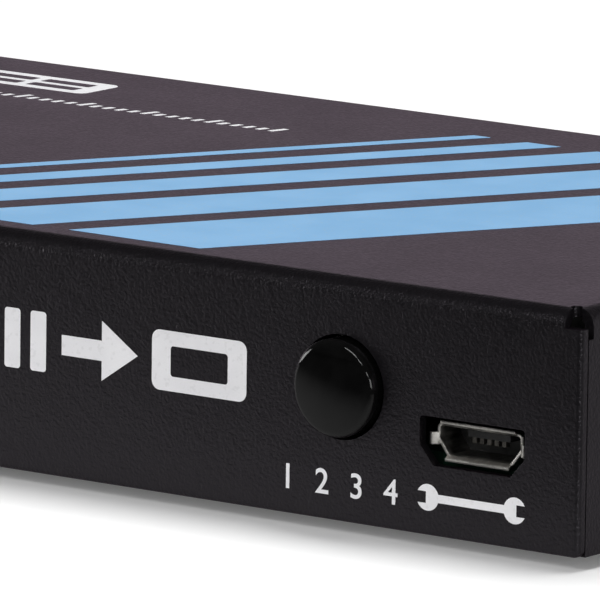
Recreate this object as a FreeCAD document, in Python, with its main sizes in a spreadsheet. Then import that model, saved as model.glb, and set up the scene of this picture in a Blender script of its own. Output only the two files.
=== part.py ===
"""Video switch box: a folded sheet-metal case with a push button, a service port and rear sockets.

Frame: +X to the right as seen from the front, the front faces -Y, +Z up.
The origin is on the table, under the middle of the case.
"""
import FreeCAD, Part
import math
import os
import re
import Sketcher

Vector = FreeCAD.Vector
Rotation = FreeCAD.Rotation

# How many there are of each
INPUTS = 4
UPPER_CONTACTS = 10
LOWER_CONTACTS = 9
PORT_CONTACTS = 5
REGULATORS = 3
CAPACITORS = 3

# Driving sizes in millimetres, then the places that follow from them
SIZES = [
    # case
    ("case_length", "160", "left side to right side"),
    ("case_depth", "64", "front face to rear face"),
    ("case_height", "17.8", "case bottom to case top"),
    ("skin", "0.8", "sheet thickness"),
    ("cover_bend", "1.35", "outer radius of the cover's bends"),
    ("bend_stop", "0.15", "flat left between a bend and its corner slot"),
    ("corner_drop", "2.15", "depth of the corner slot below the top"),
    ("corner_hole", "0.45", "radius of the relief hole in each front corner"),
    ("seam", "0.12", "open seam between the front and side flanges"),
    ("flange_lap", "0.5", "overlap that joins two stretches of one sheet"),
    ("toe_round", "0.6", "rounding of the front flange's lower corners"),
    ("edge_round", "0.38", "coated rounding of the front flange's ends"),
    ("rear_round", "0.65", "coated rounding of the cover's rear edge"),
    ("tray_play", "0.1", "clearance between tray and cover"),
    ("tray_bend", "1.2", "outer radius of the tray's bends"),
    ("tray_flange", "12", "height of the tray's side flanges"),
    ("tray_lip", "5", "depth of the rear wall's top lip"),
    # case screws and feet
    ("case_screw_inset", "12", "case screws, from the front and rear faces"),
    ("case_screw_rise", "8.2", "case screws, above the case bottom"),
    ("case_screw_radius", "1.5", "case screw shank"),
    ("case_screw_length", "3.6", "case screw, under its head"),
    ("case_head_radius", "2.7", "case screw head"),
    ("case_head_height", "1.4", "case screw head"),
    ("case_hole_play", "0.1", "shank clearance in the cover"),
    ("thread_play", "0.05", "shank clearance in a threaded bore"),
    ("collar_radius", "2.4", "drawn collar round a threaded bore"),
    ("collar_length", "1.0", "drawn collar, inward from the flange"),
    ("head_side", "0.7", "height of a screw head's straight side"),
    ("head_slope", "0.75", "how far a screw head's flat top lies in from its side"),
    ("tip_bevel", "0.3", "bevel of a screw's tip"),
    ("cross_width", "0.6", "arm of a screw's cross recess"),
    ("cross_reach", "1.3", "length of an arm, from the middle"),
    ("cross_depth", "0.8", "depth of a screw's cross recess"),
    ("foot_radius", "5", "rubber foot"),
    ("foot_thick", "1.0", "rubber foot"),
    ("foot_inset", "13", "foot centre, from the case's faces"),
    ("foot_round", "0.3", "bevel of the foot's lower rim"),
    # board and what holds it
    ("board_thick", "1.6", "main board"),
    ("board_side_gap", "2.3", "board to tray flange"),
    ("board_front_gap", "1.6", "board to front flange"),
    ("board_rear_gap", "1.4", "board to rear wall"),
    ("board_corner", "1.5", "board corner radius"),
    ("board_hole_side", "4.0", "board holes, from the side edges"),
    ("board_hole_front", "12.0", "board holes, from the front edge"),
    ("board_hole_rear", "6.0", "board holes, from the rear edge"),
    ("board_hole_play", "0.15", "shank clearance in the board"),
    ("standoff_height", "3.3", "standoff"),
    ("standoff_radius", "2.5", "standoff"),
    ("board_screw_radius", "1.2", "board screw shank"),
    ("board_head_radius", "2.3", "board screw head"),
    ("board_head_height", "1.4", "board screw head"),
    ("board_screw_tip", "0.5", "board screw's end to the tray"),
    ("film_thick", "0.2", "insulating sheet"),
    ("film_margin", "2.0", "insulating sheet, from the tray's walls"),
    ("film_play", "0.5", "insulating sheet's holes round the standoffs"),
    # video sockets
    ("input_from_right", "22", "first video input to the right side"),
    ("socket_pitch", "21", "video input to video input"),
    ("socket_width", "14.8", "socket shell"),
    ("socket_height", "5.35", "socket shell"),
    ("socket_depth", "11", "socket shell"),
    ("socket_wall", "0.4", "socket shell"),
    ("socket_bevel", "1.3", "lower corners of the shell"),
    ("socket_rise", "3.3", "socket axis above the board"),
    ("socket_stand", "0.3", "socket mouth beyond the rear wall"),
    ("socket_play", "0.3", "cut-out clearance round the socket"),
    ("socket_block", "4.0", "depth of the insulator's block"),
    ("socket_leg", "1.2", "width of a shell leg"),
    ("tongue_width", "11.2", "socket tongue"),
    ("tongue_thick", "1.5", "socket tongue"),
    ("tongue_recess", "1.3", "tongue's end behind the mouth"),
    ("contact_pitch", "1.0", "contacts of one row"),
    ("contact_width", "0.3", "contact"),
    ("contact_thick", "0.12", "contact"),
    ("contact_tail", "0.5", "contacts behind the block"),
    # power socket
    ("jack_from_left", "22", "power socket to the left side"),
    ("jack_width", "9", "power socket body"),
    ("jack_depth", "13", "power socket body, behind the rear wall"),
    ("jack_top_gap", "0.6", "power socket body to the rear wall's lip"),
    ("jack_nose_radius", "4.0", "power socket nose"),
    ("jack_stand", "1.35", "nose beyond the rear wall"),
    ("jack_play", "0.15", "clearance round the nose"),
    ("jack_bore", "3.15", "radius of the power socket's bore"),
    ("jack_bore_depth", "10", "depth of the power socket's bore"),
    ("jack_pin_radius", "1.0", "centre pin"),
    ("jack_pin_bevel", "0.5", "bevel of the pin's end"),
    ("jack_pin_recess", "1.2", "pin's end behind the mouth"),
    ("jack_spring_thick", "0.3", "side spring contact"),
    ("jack_spring_width", "2.4", "side spring contact"),
    ("jack_spring_lift", "0.35", "side spring contact above the bore's lowest line"),
    # service port
    ("port_from_right", "9.38", "port axis to the right side"),
    ("port_width", "7.5", "port shell"),
    ("port_height", "2.45", "port shell"),
    ("port_depth", "5.0", "port shell"),
    ("port_wall", "0.2", "port shell"),
    ("port_top_round", "0.45", "outer rounding of the port's upper corners"),
    ("port_low_round", "0.35", "outer rounding of the port's lower corners"),
    ("port_bevel_x", "0.95", "lower corners of the port, across"),
    ("port_bevel_z", "1.25", "lower corners of the port, up"),
    ("port_setback", "1.0", "port rim behind the front face"),
    ("port_lip_reach", "0.4", "port lips, forward of the rim"),
    ("port_lip_flare", "0.24", "port lips, outward"),
    ("port_upper_lip", "6.5", "length of the port's upper lip"),
    ("port_lug_flare", "0.4", "port side lugs, outward"),
    ("port_lug_height", "0.9", "port side lugs"),
    ("port_lug_rise", "0.08", "side lugs' centre above the port axis"),
    ("port_side_room", "0.87", "front cut-out beside the shell"),
    ("port_top_room", "0.55", "front cut-out above and below the shell"),
    ("port_corner_extra_x", "0.29", "cut-out's lower corners beyond the shell's, across"),
    ("port_corner_extra_z", "0.18", "cut-out's lower corners beyond the shell's, up"),
    ("port_cut_round", "0.3", "rounding of the cut-out's corners"),
    ("port_block", "2.4", "port insulator's block"),
    ("port_tongue_width", "3.7", "port tongue"),
    ("port_tongue_thick", "0.5", "port tongue"),
    ("port_tongue_rise", "0.5", "port tongue above the port axis"),
    ("port_tongue_recess", "1.1", "port tongue behind the rim"),
    ("port_pitch", "0.65", "port contacts"),
    ("port_contact_width", "0.35", "port contact"),
    ("port_contact_thick", "0.1", "port contact"),
    ("port_nose_length", "0.5", "bulged front end of a port contact"),
    ("port_nose_height", "0.4", "bulged front end of a port contact"),
    # select button and its switch
    ("button_from_right", "21.07", "button axis to the right side"),
    ("button_rise", "4.15", "button axis above the board"),
    ("button_radius", "3.6", "button cap"),
    ("button_play", "0.25", "clearance round the cap"),
    ("button_stand", "1.35", "cap beyond the front face"),
    ("button_crown", "0.3", "height of the cap's slight dome"),
    ("button_rim", "0.5", "rounding of the cap's rim"),
    ("button_length", "4.75", "cap, front to rear"),
    ("button_wall", "0.8", "cap skirt"),
    ("button_top", "1.2", "cap face thickness"),
    ("boss_radius", "2.6", "cap's inner boss"),
    ("boss_setback", "0.6", "boss end inside the skirt's end"),
    ("stem_radius", "1.75", "switch plunger stem"),
    ("stem_play", "0.02", "press clearance of stem in boss"),
    ("button_travel", "0.35", "how far the button goes in"),
    ("button_spare", "0.35", "cap to switch when pressed home"),
    ("bracket_thick", "0.3", "switch bracket"),
    ("bracket_play", "0.15", "clearance round the stem"),
    ("switch_width", "6.0", "switch housing"),
    ("switch_depth", "2.8", "switch housing"),
    ("switch_well", "2.7", "radius of the housing's well"),
    ("switch_well_depth", "1.9", "depth of the housing's well"),
    ("collar_play", "0.05", "plunger collar to bracket"),
    ("plunger_collar", "2.4", "plunger collar radius"),
    ("plunger_collar_thick", "0.65", "plunger collar"),
    ("nib_radius", "0.8", "plunger nib"),
    ("nib_length", "0.55", "plunger nib"),
    ("dome_play", "0.05", "nib to snap dome"),
    ("dome_thick", "0.1", "snap dome"),
    ("terminal_width", "0.7", "switch terminal"),
    ("terminal_thick", "0.3", "switch terminal"),
    # indicator lights and infra-red eye
    ("light_rise", "4.15", "light axis above the board"),
    ("light_radius", "1.45", "light"),
    ("light_play", "0.12", "clearance round a light"),
    ("light_stand", "0.3", "light beyond the front face"),
    ("light_length", "6.4", "light, nose to tail"),
    ("light_nose", "0.9", "rounding of a light's nose"),
    ("light_holder", "4.4", "width and height of a light holder"),
    ("light_holder_depth", "4.0", "light holder"),
    ("power_light_from_left", "12", "power light to the left side"),
    ("input_light_from_left", "42", "first input light to the left side"),
    ("light_pitch", "9", "input light to input light"),
    ("eye_from_left", "26", "infra-red eye to the left side"),
    ("eye_radius", "2.5", "infra-red window"),
    ("eye_play", "0.1", "clearance round the window"),
    ("eye_flange", "3.3", "window flange radius"),
    ("eye_flange_thick", "0.6", "window flange"),
    ("eye_rise", "4.4", "infra-red axis above the board"),
    ("eye_gap", "0.3", "window to receiver"),
    ("receiver_width", "5.2", "infra-red receiver"),
    ("receiver_depth", "2.8", "infra-red receiver"),
    ("receiver_height", "6.6", "infra-red receiver"),
    ("receiver_lens", "1.8", "radius of the receiver's lens"),
    # board components
    ("processor_size", "24", "video processor"),
    ("processor_thick", "1.6", "video processor"),
    ("processor_gap", "1.3", "processor to the receiver chips"),
    ("thermal_size", "20", "thermal pad"),
    ("thermal_thick", "0.8", "thermal pad"),
    ("sink_size", "30", "heat sink"),
    ("sink_base", "1.5", "heat sink base"),
    ("sink_top_gap", "2.2", "heat sink to cover"),
    ("fin_pitch", "3.0", "heat sink fins"),
    ("fin_gap", "1.9", "space between two fins"),
    ("receiver_chip", "9", "receiver chip"),
    ("receiver_chip_thick", "0.9", "receiver chip"),
    ("receiver_chip_gap", "2.5", "receiver chip to socket"),
    ("memory_width", "8", "memory chip"),
    ("memory_length", "12", "memory chip"),
    ("memory_thick", "1.1", "memory chip"),
    ("memory_gap", "4", "memory chip to heat sink"),
    ("memory_forward", "8", "memory chip's centre in front of the processor's"),
    ("controller_size", "7", "microcontroller"),
    ("controller_thick", "1.2", "microcontroller"),
    ("controller_gap", "3", "microcontroller to switch"),
    ("regulator_width", "6.5", "voltage regulator"),
    ("regulator_length", "3.5", "voltage regulator"),
    ("regulator_thick", "1.6", "voltage regulator"),
    ("regulator_pitch", "9", "voltage regulators"),
    ("regulator_left", "6", "first regulator to the left of the power socket's axis"),
    ("regulator_forward", "24.2", "regulators in front of the capacitors"),
    ("power_gap", "6", "power socket to the middle of the capacitors"),
    ("inductor_size", "7", "power inductor"),
    ("inductor_height", "4", "power inductor"),
    ("inductor_bevel", "1.2", "power inductor's corners"),
    ("inductor_left", "8", "inductor to the left of the power socket's axis"),
    ("capacitor_radius", "3.1", "capacitor"),
    ("capacitor_height", "5.8", "capacitor"),
    ("capacitor_pitch", "8", "capacitors"),
    ("capacitor_rim", "0.4", "rounding of a capacitor's top"),
    ("capacitor_right", "2", "first capacitor to the right of the power socket's axis"),
    ("crystal_length", "11", "crystal"),
    ("crystal_width", "4.6", "crystal"),
    ("crystal_height", "3.4", "crystal"),
    ("crystal_round", "2.1", "rounding of the crystal's ends"),
    ("crystal_left", "16", "crystal to the left of the button's axis"),
    # places that follow
    ("case_right", "=case_length / 2", "right side"),
    ("case_front", "=-case_depth / 2", "front face"),
    ("case_rear", "=case_depth / 2", "rear face"),
    ("case_bottom", "=foot_thick", "underside of the case"),
    ("case_top", "=case_bottom + case_height", "top of the case"),
    ("corner_step", "=cover_bend + bend_stop", "corner slot, from each face"),
    ("tray_right", "=case_right - skin - tray_play", "tray's right side"),
    ("tray_front", "=case_front + skin + tray_play", "tray's front edge"),
    ("tray_top", "=case_top - skin - tray_play", "top of the rear wall's lip"),
    ("tray_step", "=tray_bend + bend_stop", "rear corner slot"),
    ("floor_top", "=case_bottom + skin", "upper face of the tray's floor"),
    ("board_bottom", "=floor_top + standoff_height", "underside of the board"),
    ("board_top", "=board_bottom + board_thick", "upper face of the board"),
    ("board_right", "=tray_right - skin - board_side_gap", "board's right edge"),
    ("board_front", "=case_front + skin + board_front_gap", "board's front edge"),
    ("board_rear", "=case_rear - skin - board_rear_gap", "board's rear edge"),
    ("hole_x", "=board_right - board_hole_side", "board holes"),
    ("hole_front_y", "=board_front + board_hole_front", "front board holes"),
    ("hole_rear_y", "=board_rear - board_hole_rear", "rear board holes"),
    ("screw_z", "=case_bottom + case_screw_rise", "case screw axis"),
    ("screw_y", "=case_rear - case_screw_inset", "rear case screw axis"),
    ("foot_x", "=case_right - foot_inset", "foot centre"),
    ("foot_y", "=case_rear - foot_inset", "foot centre"),
    ("socket_y", "=case_rear + socket_stand", "socket mouth"),
    ("socket_z", "=board_top + socket_rise", "socket axis"),
    ("socket_back", "=socket_y - socket_depth - contact_tail", "rearmost of a socket"),
    ("first_input_x", "=case_right - input_from_right", "first video input"),
    ("last_input_x", f"=first_input_x - {INPUTS - 1} * socket_pitch", "last video input"),
    ("jack_x", "=jack_from_left - case_right", "power socket"),
    ("output_x", "=(last_input_x + jack_x) / 2", "video output"),
    ("jack_height", "=tray_top - skin - jack_top_gap - board_top", "power socket body"),
    ("jack_z", "=board_top + jack_height / 2", "power socket axis"),
    ("jack_y", "=case_rear + jack_stand", "power socket mouth"),
    ("power_y", "=case_rear - skin - jack_depth - power_gap", "middle of the capacitors"),
    ("regulator_y", "=power_y - regulator_forward", "middle of the regulators"),
    ("port_x", "=case_right - port_from_right", "port axis"),
    ("port_y", "=case_front + port_setback", "port rim"),
    ("port_z", "=board_top + port_height / 2", "port axis"),
    ("button_x", "=case_right - button_from_right", "button axis"),
    ("button_z", "=board_top + button_rise", "button axis"),
    ("skirt_end", "=button_length - button_stand", "cap's rear end, behind the front face"),
    ("bracket_front", "=skirt_end + button_travel + button_spare", "bracket, behind the front face"),
    ("housing_front", "=bracket_front + bracket_thick", "housing, behind the front face"),
    ("housing_back", "=housing_front + switch_depth", "housing's rear, behind the front face"),
    ("collar_front", "=housing_front + collar_play", "plunger collar, behind the front face"),
    ("nib_end", "=collar_front + plunger_collar_thick + nib_length", "nib, behind the front face"),
    ("dome_top", "=nib_end + dome_play", "snap dome, behind the front face"),
    ("dome_base", "=housing_front + switch_well_depth", "snap dome's seat"),
    ("light_z", "=board_top + light_rise", "light axis"),
    ("light_y", "=case_front - light_stand", "light nose"),
    ("power_light_x", "=power_light_from_left - case_right", "power light"),
    ("input_light_x", "=input_light_from_left - case_right", "first input light"),
    ("eye_x", "=eye_from_left - case_right", "infra-red eye"),
    ("eye_z", "=board_top + eye_rise", "infra-red axis"),
    ("receiver_chip_y", "=socket_back - receiver_chip_gap - receiver_chip / 2", "receiver chips"),
    ("processor_y", "=receiver_chip_y - (receiver_chip + processor_size) / 2 - processor_gap", "processor"),
    ("memory_y", "=processor_y - memory_forward", "memory chips"),
    ("sink_bottom", "=board_top + processor_thick + thermal_thick", "heat sink's underside"),
    ("sink_height", "=case_top - skin - sink_top_gap - sink_bottom", "heat sink"),
]

# Section of the snap dome: shares of the way out to its foot and of the way down
DOME_SHAPE = ((0, 0), (0.4, 0.2), (0.8, 0.7))
SIDES = (-1, 1)
NEAR = 1e-4
# The vertical axis of a sketch, and the centre of an arc, as the sketcher numbers them
V_AXIS = -2
CENTRE = 3

# The local +Z axis of a turned piece can point four ways
UPWARD = Rotation()
FORWARD = Rotation(Vector(1, 0, 0), 90)
TO_RIGHT = Rotation(Vector(0, 1, 0), 90)
TO_LEFT = Rotation(Vector(0, 1, 0), -90)

ALIASES = {row[0] for row in SIZES}
doc = FreeCAD.newDocument("VideoSwitchBox")
sheet = doc.addObject("Spreadsheet::Sheet", "Sizes")
pieces = []


def fill_sheet():
    """Write each size, with its name as the cell's alias."""
    for row, (alias, content, note) in enumerate(SIZES, 1):
        sheet.set(f"A{row}", alias)
        sheet.set(f"B{row}", content)
        sheet.set(f"C{row}", note)
        sheet.setAlias(f"B{row}", alias)
    doc.recompute()


def bound(text):
    """The same expression, with each size read from the sheet."""
    def cell(word):
        return "Sizes." + word[0] if word[0] in ALIASES else word[0]
    return re.sub(r"[a-z_][a-z_0-9]*", cell, text)


def value(text):
    """What an expression comes to now, in millimetres."""
    return float(sheet.evalExpression(bound(text)))


def place(item, x, y, z, turn=UPWARD):
    """Give an object its place by three expressions, and its turn."""
    item.Placement = FreeCAD.Placement(Vector(), turn)
    for axis, text in zip("xyz", (x, y, z)):
        item.setExpression("Placement.Base." + axis, bound(text))


def new_body(name, x="0", y="0", z="0", turn=UPWARD):
    body = doc.addObject("PartDesign::Body", name)
    place(body, x, y, z, turn)
    return body


def new_sketch(body, name, plane, start="0"):
    """A sketch on one of the body's own planes, moved along +X, +Y or +Z by start."""
    sketch = body.newObject("Sketcher::SketchObject", name)
    origin = [item for item in body.Origin.OriginFeatures if item.Role == plane + "_Plane"][0]
    sketch.AttachmentSupport = [(origin, "")]
    sketch.MapMode = "FlatFace"
    sign = "-" if plane == "XZ" else ""
    sketch.setExpression("AttachmentOffset.Base.z", bound(f"{sign}({start})"))
    return sketch


def hold(sketch, rules):
    """Add constraints, each given as its kind, its geometry and the expression that drives it."""
    made = []
    for kind, geometry, text in rules:
        rule = Sketcher.Constraint(kind, *geometry, value(text))
        rule.Name = f"{kind}_{geometry[0]}"
        made.append(rule)
    sketch.addConstraint(made)
    for rule, (kind, geometry, text) in zip(made, rules):
        sketch.setExpression("Constraints." + rule.Name, bound(text))


def crown(rim, top):
    """The arc from a rim up to a top on the vertical axis."""
    rise = top.y - rim.y
    radius = (rim.x ** 2 + rise ** 2) / (2 * rise)
    centre = Vector(0, top.y - radius, 0)
    return Part.ArcOfCircle(Part.Circle(centre, Vector(0, 0, 1), radius),
                            math.atan2(rim.y - centre.y, rim.x), math.pi / 2)


def outline(sketch, corners, domed=False):
    """A closed outline of straight lines through corners given as expressions. The first can be a crown."""
    points = [Vector(value(x), value(y), 0) for x, y in corners]
    first = sketch.GeometryCount
    count = len(points)
    following = [(i + 1) % count for i in range(count)]
    sides = [Part.LineSegment(points[i], points[following[i]]) for i in range(count)]
    if domed:
        sides[0] = crown(points[0], points[1])
    sketch.addGeometry(sides, False)
    sketch.addConstraint([Sketcher.Constraint("Coincident", first + i, 2, first + following[i], 1)
                          for i in range(count)])
    rules = []
    for i, (x, y) in enumerate(corners):
        rules.append(("DistanceX", (first + i, 1), x))
        rules.append(("DistanceY", (first + i, 1), y))
    if domed:
        sketch.addConstraint(Sketcher.Constraint("PointOnObject", first, CENTRE, V_AXIS))
    hold(sketch, rules)


def circle(sketch, x, y, radius):
    """A circle whose centre and radius are expressions."""
    centre = Vector(value(x), value(y), 0)
    index = sketch.addGeometry(Part.Circle(centre, Vector(0, 0, 1), value(radius)), False)
    hold(sketch, [("DistanceX", (index, CENTRE), x),
                  ("DistanceY", (index, CENTRE), y),
                  ("Radius", (index,), radius)])


def rectangle(left, bottom, right, top):
    return [(left, bottom), (right, bottom), (right, top), (left, top)]


def pad(body, sketch, length):
    """Grow the sketch's outline towards +X, +Y or +Z."""
    grown = body.newObject("PartDesign::Pad", sketch.Name + "_pad")
    grown.Profile = sketch
    grown.Reversed = sketch.AttachmentSupport[0][0].Role == "XZ_Plane"
    grown.setExpression("Length", bound(length))
    grown.recompute(True)
    return grown


def pocket(body, sketch, length):
    """Cut the sketch's outline away towards +X, +Y or +Z."""
    before = body.Tip.Shape.Volume
    hole = body.newObject("PartDesign::Pocket", sketch.Name + "_cut")
    hole.Profile = sketch
    hole.Reversed = sketch.AttachmentSupport[0][0].Role != "XZ_Plane"
    hole.setExpression("Length", bound(length))
    hole.recompute(True)
    if not hole.Shape.Volume < before:
        raise ValueError(hole.Name + " cuts nothing")
    return hole


def turned(body, name, corners, domed=False):
    """Turn an outline of (radius, height) corners about the local Z axis."""
    sketch = new_sketch(body, name, "XZ")
    outline(sketch, corners, domed)
    solid = body.newObject("PartDesign::Revolution", name + "_turn")
    solid.Profile = sketch
    solid.ReferenceAxis = (sketch, ["V_Axis"])
    solid.Angle = 360
    solid.recompute(True)
    return solid


def repeat(body, name, features, sketch, pitch, count):
    """Repeat features along the sketch's horizontal axis."""
    pattern = body.newObject("PartDesign::LinearPattern", name)
    pattern.Originals = features
    pattern.Direction = (sketch, ["H_Axis"])
    pattern.setExpression("Length", bound(f"({pitch}) * {count - 1}"))
    pattern.Occurrences = count
    body.Tip = pattern
    pattern.recompute(True)
    return pattern


def lies_at(edge, **places):
    """True where the whole edge lies at each of the places given."""
    extent = edge.BoundBox
    for axis, text in places.items():
        target = value(text)
        ends = (getattr(extent, axis.upper() + "Min"), getattr(extent, axis.upper() + "Max"))
        if max(abs(end - target) for end in ends) > NEAR:
            return False
    return True


def round_edges(body, name, radius, spots, within=None):
    """Round the edges that lie at any of the spots, and no farther back than within."""
    base = body.Tip
    edges = []
    for number, edge in enumerate(base.Shape.Edges, 1):
        near_enough = within is None or edge.BoundBox.YMax < value(within) + NEAR
        if near_enough and any(lies_at(edge, **spot) for spot in spots):
            edges.append(f"Edge{number}")
    rounded = body.newObject("PartDesign::Fillet", name)
    rounded.Base = (base, edges)
    rounded.setExpression("Radius", bound(radius))
    rounded.recompute(True)
    return rounded


def block(name, low, size):
    """A plain block: its low corner and its size, as expressions."""
    solid = doc.addObject("Part::Box", name)
    for prop, text in zip(("Length", "Width", "Height"), size):
        solid.setExpression(prop, bound(text))
    place(solid, *low)
    return solid


def rod(name, radius, length, x, y, z, turn=UPWARD):
    """A plain cylinder whose base is centred at x, y, z."""
    solid = doc.addObject("Part::Cylinder", name)
    solid.setExpression("Radius", bound(radius))
    solid.setExpression("Height", bound(length))
    place(solid, x, y, z, turn)
    return solid


def cut(name, base, tool):
    result = doc.addObject("Part::Cut", name)
    result.Base = base
    result.Tool = tool
    return result


def group(name, members):
    """Several like solids that share one node."""
    result = doc.addObject("Part::Compound", name)
    result.Links = members
    return result


def piece(item, label):
    """Count an object as a finished piece under its own label."""
    item.Label = label
    pieces.append(item)


def hoop(right, low, high, thick):
    """Outline of a sheet folded down at both sides, open below."""
    inner = f"{right} - {thick}"
    return [
        (f"-({right})", low),
        (f"-({right})", high),
        (right, high),
        (right, low),
        (inner, low),
        (inner, f"{high} - {thick}"),
        (f"-({inner})", f"{high} - {thick}"),
        (f"-({inner})", low),
    ]


def beveled(width, height, bevel_x, bevel_z, inset="0"):
    """Outline of a socket shell: a rectangle with its lower corners cut off."""
    right = f"({width}) / 2 - ({inset})"
    top = f"({height}) / 2 - ({inset})"
    return [
        (f"-({right})", top),
        (f"-({right})", f"-({top}) + ({bevel_z})"),
        (f"-({right}) + ({bevel_x})", f"-({top})"),
        (f"({right}) - ({bevel_x})", f"-({top})"),
        (right, f"-({top}) + ({bevel_z})"),
        (right, top),
    ]


def bevel_inside(bevel, other, wall):
    """One leg of a shell's inner corner, where the wall is as thick there as elsewhere."""
    return f"{bevel} - {wall} * (1 - (sqrt({bevel} ^ 2 + {other} ^ 2) - {bevel}) / {other})"


def moved(corners, x, y):
    """The same outline about another centre."""
    return [(f"{x} + {a}", f"{y} + {b}") for a, b in corners]


# Top cover: roof and side flanges, then the front flange, joined where the sheet bends
def fold_cover(body):
    roof = new_sketch(body, "cover_roof", "XZ", "case_front + corner_step")
    outline(roof, hoop("case_right", "case_bottom", "case_top", "skin"))
    pad(body, roof, "case_depth - corner_step")
    outer = [{"x": side, "z": "case_top"} for side in ("case_right", "-case_right")]
    inner = [{"x": side, "z": "case_top - skin"} for side in ("case_right - skin", "skin - case_right")]
    round_edges(body, "cover_side_bends", "cover_bend", outer)
    round_edges(body, "cover_side_bends_inside", "cover_bend - skin", inner)
    front = new_sketch(body, "cover_front", "YZ", "corner_step - case_right")
    lap = "case_front + corner_step + flange_lap"
    outline(front, [
        ("case_front", "case_bottom"),
        ("case_front", "case_top"),
        (lap, "case_top"),
        (lap, "case_top - skin"),
        ("case_front + skin", "case_top - skin"),
        ("case_front + skin", "case_bottom"),
    ])
    pad(body, front, "2 * (case_right - corner_step)")
    round_edges(body, "cover_front_bend", "cover_bend", [{"y": "case_front", "z": "case_top"}])
    inside = [{"y": "case_front + skin", "z": "case_top - skin"}]
    round_edges(body, "cover_front_bend_inside", "cover_bend - skin", inside)


# The front flange runs out to the sides below the corner slots, and the side flanges butt on it
def close_cover_corners(body):
    slot_bottom = "case_top - corner_drop"
    plate = new_sketch(body, "cover_front_plate", "XZ", "case_front")
    outline(plate, rectangle("-case_right", "case_bottom", "case_right", "case_top - cover_bend"))
    pad(body, plate, "skin")
    ends = new_sketch(body, "cover_side_ends", "XZ", "case_front + skin + seam")
    for left, right in (("-case_right", "skin - case_right"), ("case_right - skin", "case_right")):
        outline(ends, rectangle(left, "case_bottom", right, slot_bottom))
    pad(body, ends, "corner_step - skin - seam + flange_lap")
    toes = [{"x": side, "z": "case_bottom"} for side in ("case_right", "-case_right")]
    round_edges(body, "cover_toes", "toe_round", toes, within="case_front + skin")
    uprights = [{"x": side, "y": "case_front"} for side in ("case_right", "-case_right")]
    round_edges(body, "cover_flange_ends", "edge_round", uprights)
    round_edges(body, "cover_rear_edge", "rear_round", [{"y": "case_rear", "z": "case_top"}])
    relief = new_sketch(body, "cover_reliefs", "XY", slot_bottom)
    for side in ("case_right - corner_step", "corner_step - case_right"):
        circle(relief, side, "case_front + corner_step", "corner_hole")
    pocket(body, relief, "corner_drop + skin")


def pierce_cover(body):
    front = new_sketch(body, "cover_front_holes", "XZ", "case_front - skin")
    circle(front, "button_x", "button_z", "button_radius + button_play")
    port = beveled("port_width + 2 * port_side_room", "port_height + 2 * port_top_room",
                   "port_bevel_x + port_corner_extra_x", "port_bevel_z + port_corner_extra_z")
    port = moved(port, "port_x", "port_z")
    outline(front, port)
    light_hole = "light_radius + light_play"
    circle(front, "power_light_x", "light_z", light_hole)
    for i in range(INPUTS):
        circle(front, f"input_light_x + {i} * light_pitch", "light_z", light_hole)
    circle(front, "eye_x", "eye_z", "eye_radius + eye_play")
    pocket(body, front, "3 * skin")
    round_edges(body, "cover_port_corners", "port_cut_round", [{"x": x, "z": z} for x, z in port])
    sides = new_sketch(body, "cover_screw_holes", "YZ", "-case_right - skin")
    for y in ("screw_y", "-screw_y"):
        circle(sides, y, "screw_z", "case_screw_radius + case_hole_play")
    pocket(body, sides, "case_length + 2 * skin")


def make_top_cover():
    body = new_body("TopCover")
    fold_cover(body)
    close_cover_corners(body)
    pierce_cover(body)
    piece(body, "top_cover")


# Base tray: floor with low side flanges, then the rear wall with its top lip
def fold_tray(body):
    floor = new_sketch(body, "tray_floor", "XZ", "tray_front")
    inner = "tray_right - skin"
    top = "case_bottom + tray_flange"
    outline(floor, [
        ("-tray_right", top),
        ("-tray_right", "case_bottom"),
        ("tray_right", "case_bottom"),
        ("tray_right", top),
        (inner, top),
        (inner, "floor_top"),
        (f"-({inner})", "floor_top"),
        (f"-({inner})", top),
    ])
    pad(body, floor, "case_rear - tray_step - tray_front")
    outer = [{"x": side, "z": "case_bottom"} for side in ("tray_right", "-tray_right")]
    inside = [{"x": side, "z": "floor_top"} for side in (inner, f"-({inner})")]
    round_edges(body, "tray_side_bends", "tray_bend", outer)
    round_edges(body, "tray_side_bends_inside", "tray_bend - skin", inside)
    wall = new_sketch(body, "tray_rear", "YZ", "tray_step - tray_right")
    lap = "case_rear - tray_step - flange_lap"
    lip = "case_rear - tray_lip"
    outline(wall, [
        (lap, "case_bottom"),
        ("case_rear", "case_bottom"),
        ("case_rear", "tray_top"),
        (lip, "tray_top"),
        (lip, "tray_top - skin"),
        ("case_rear - skin", "tray_top - skin"),
        ("case_rear - skin", "floor_top"),
        (lap, "floor_top"),
    ])
    pad(body, wall, "2 * (tray_right - tray_step)")
    bends = [{"y": "case_rear", "z": level} for level in ("case_bottom", "tray_top")]
    hollows = [{"y": "case_rear - skin", "z": level} for level in ("floor_top", "tray_top - skin")]
    round_edges(body, "tray_rear_bends", "tray_bend", bends)
    round_edges(body, "tray_rear_bends_inside", "tray_bend - skin", hollows)
    ears = new_sketch(body, "tray_ears", "XZ", "case_rear - skin")
    outline(ears, rectangle("-tray_right", "case_bottom + tray_step", "tray_right", "tray_top - tray_step"))
    pad(body, ears, "skin")


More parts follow.
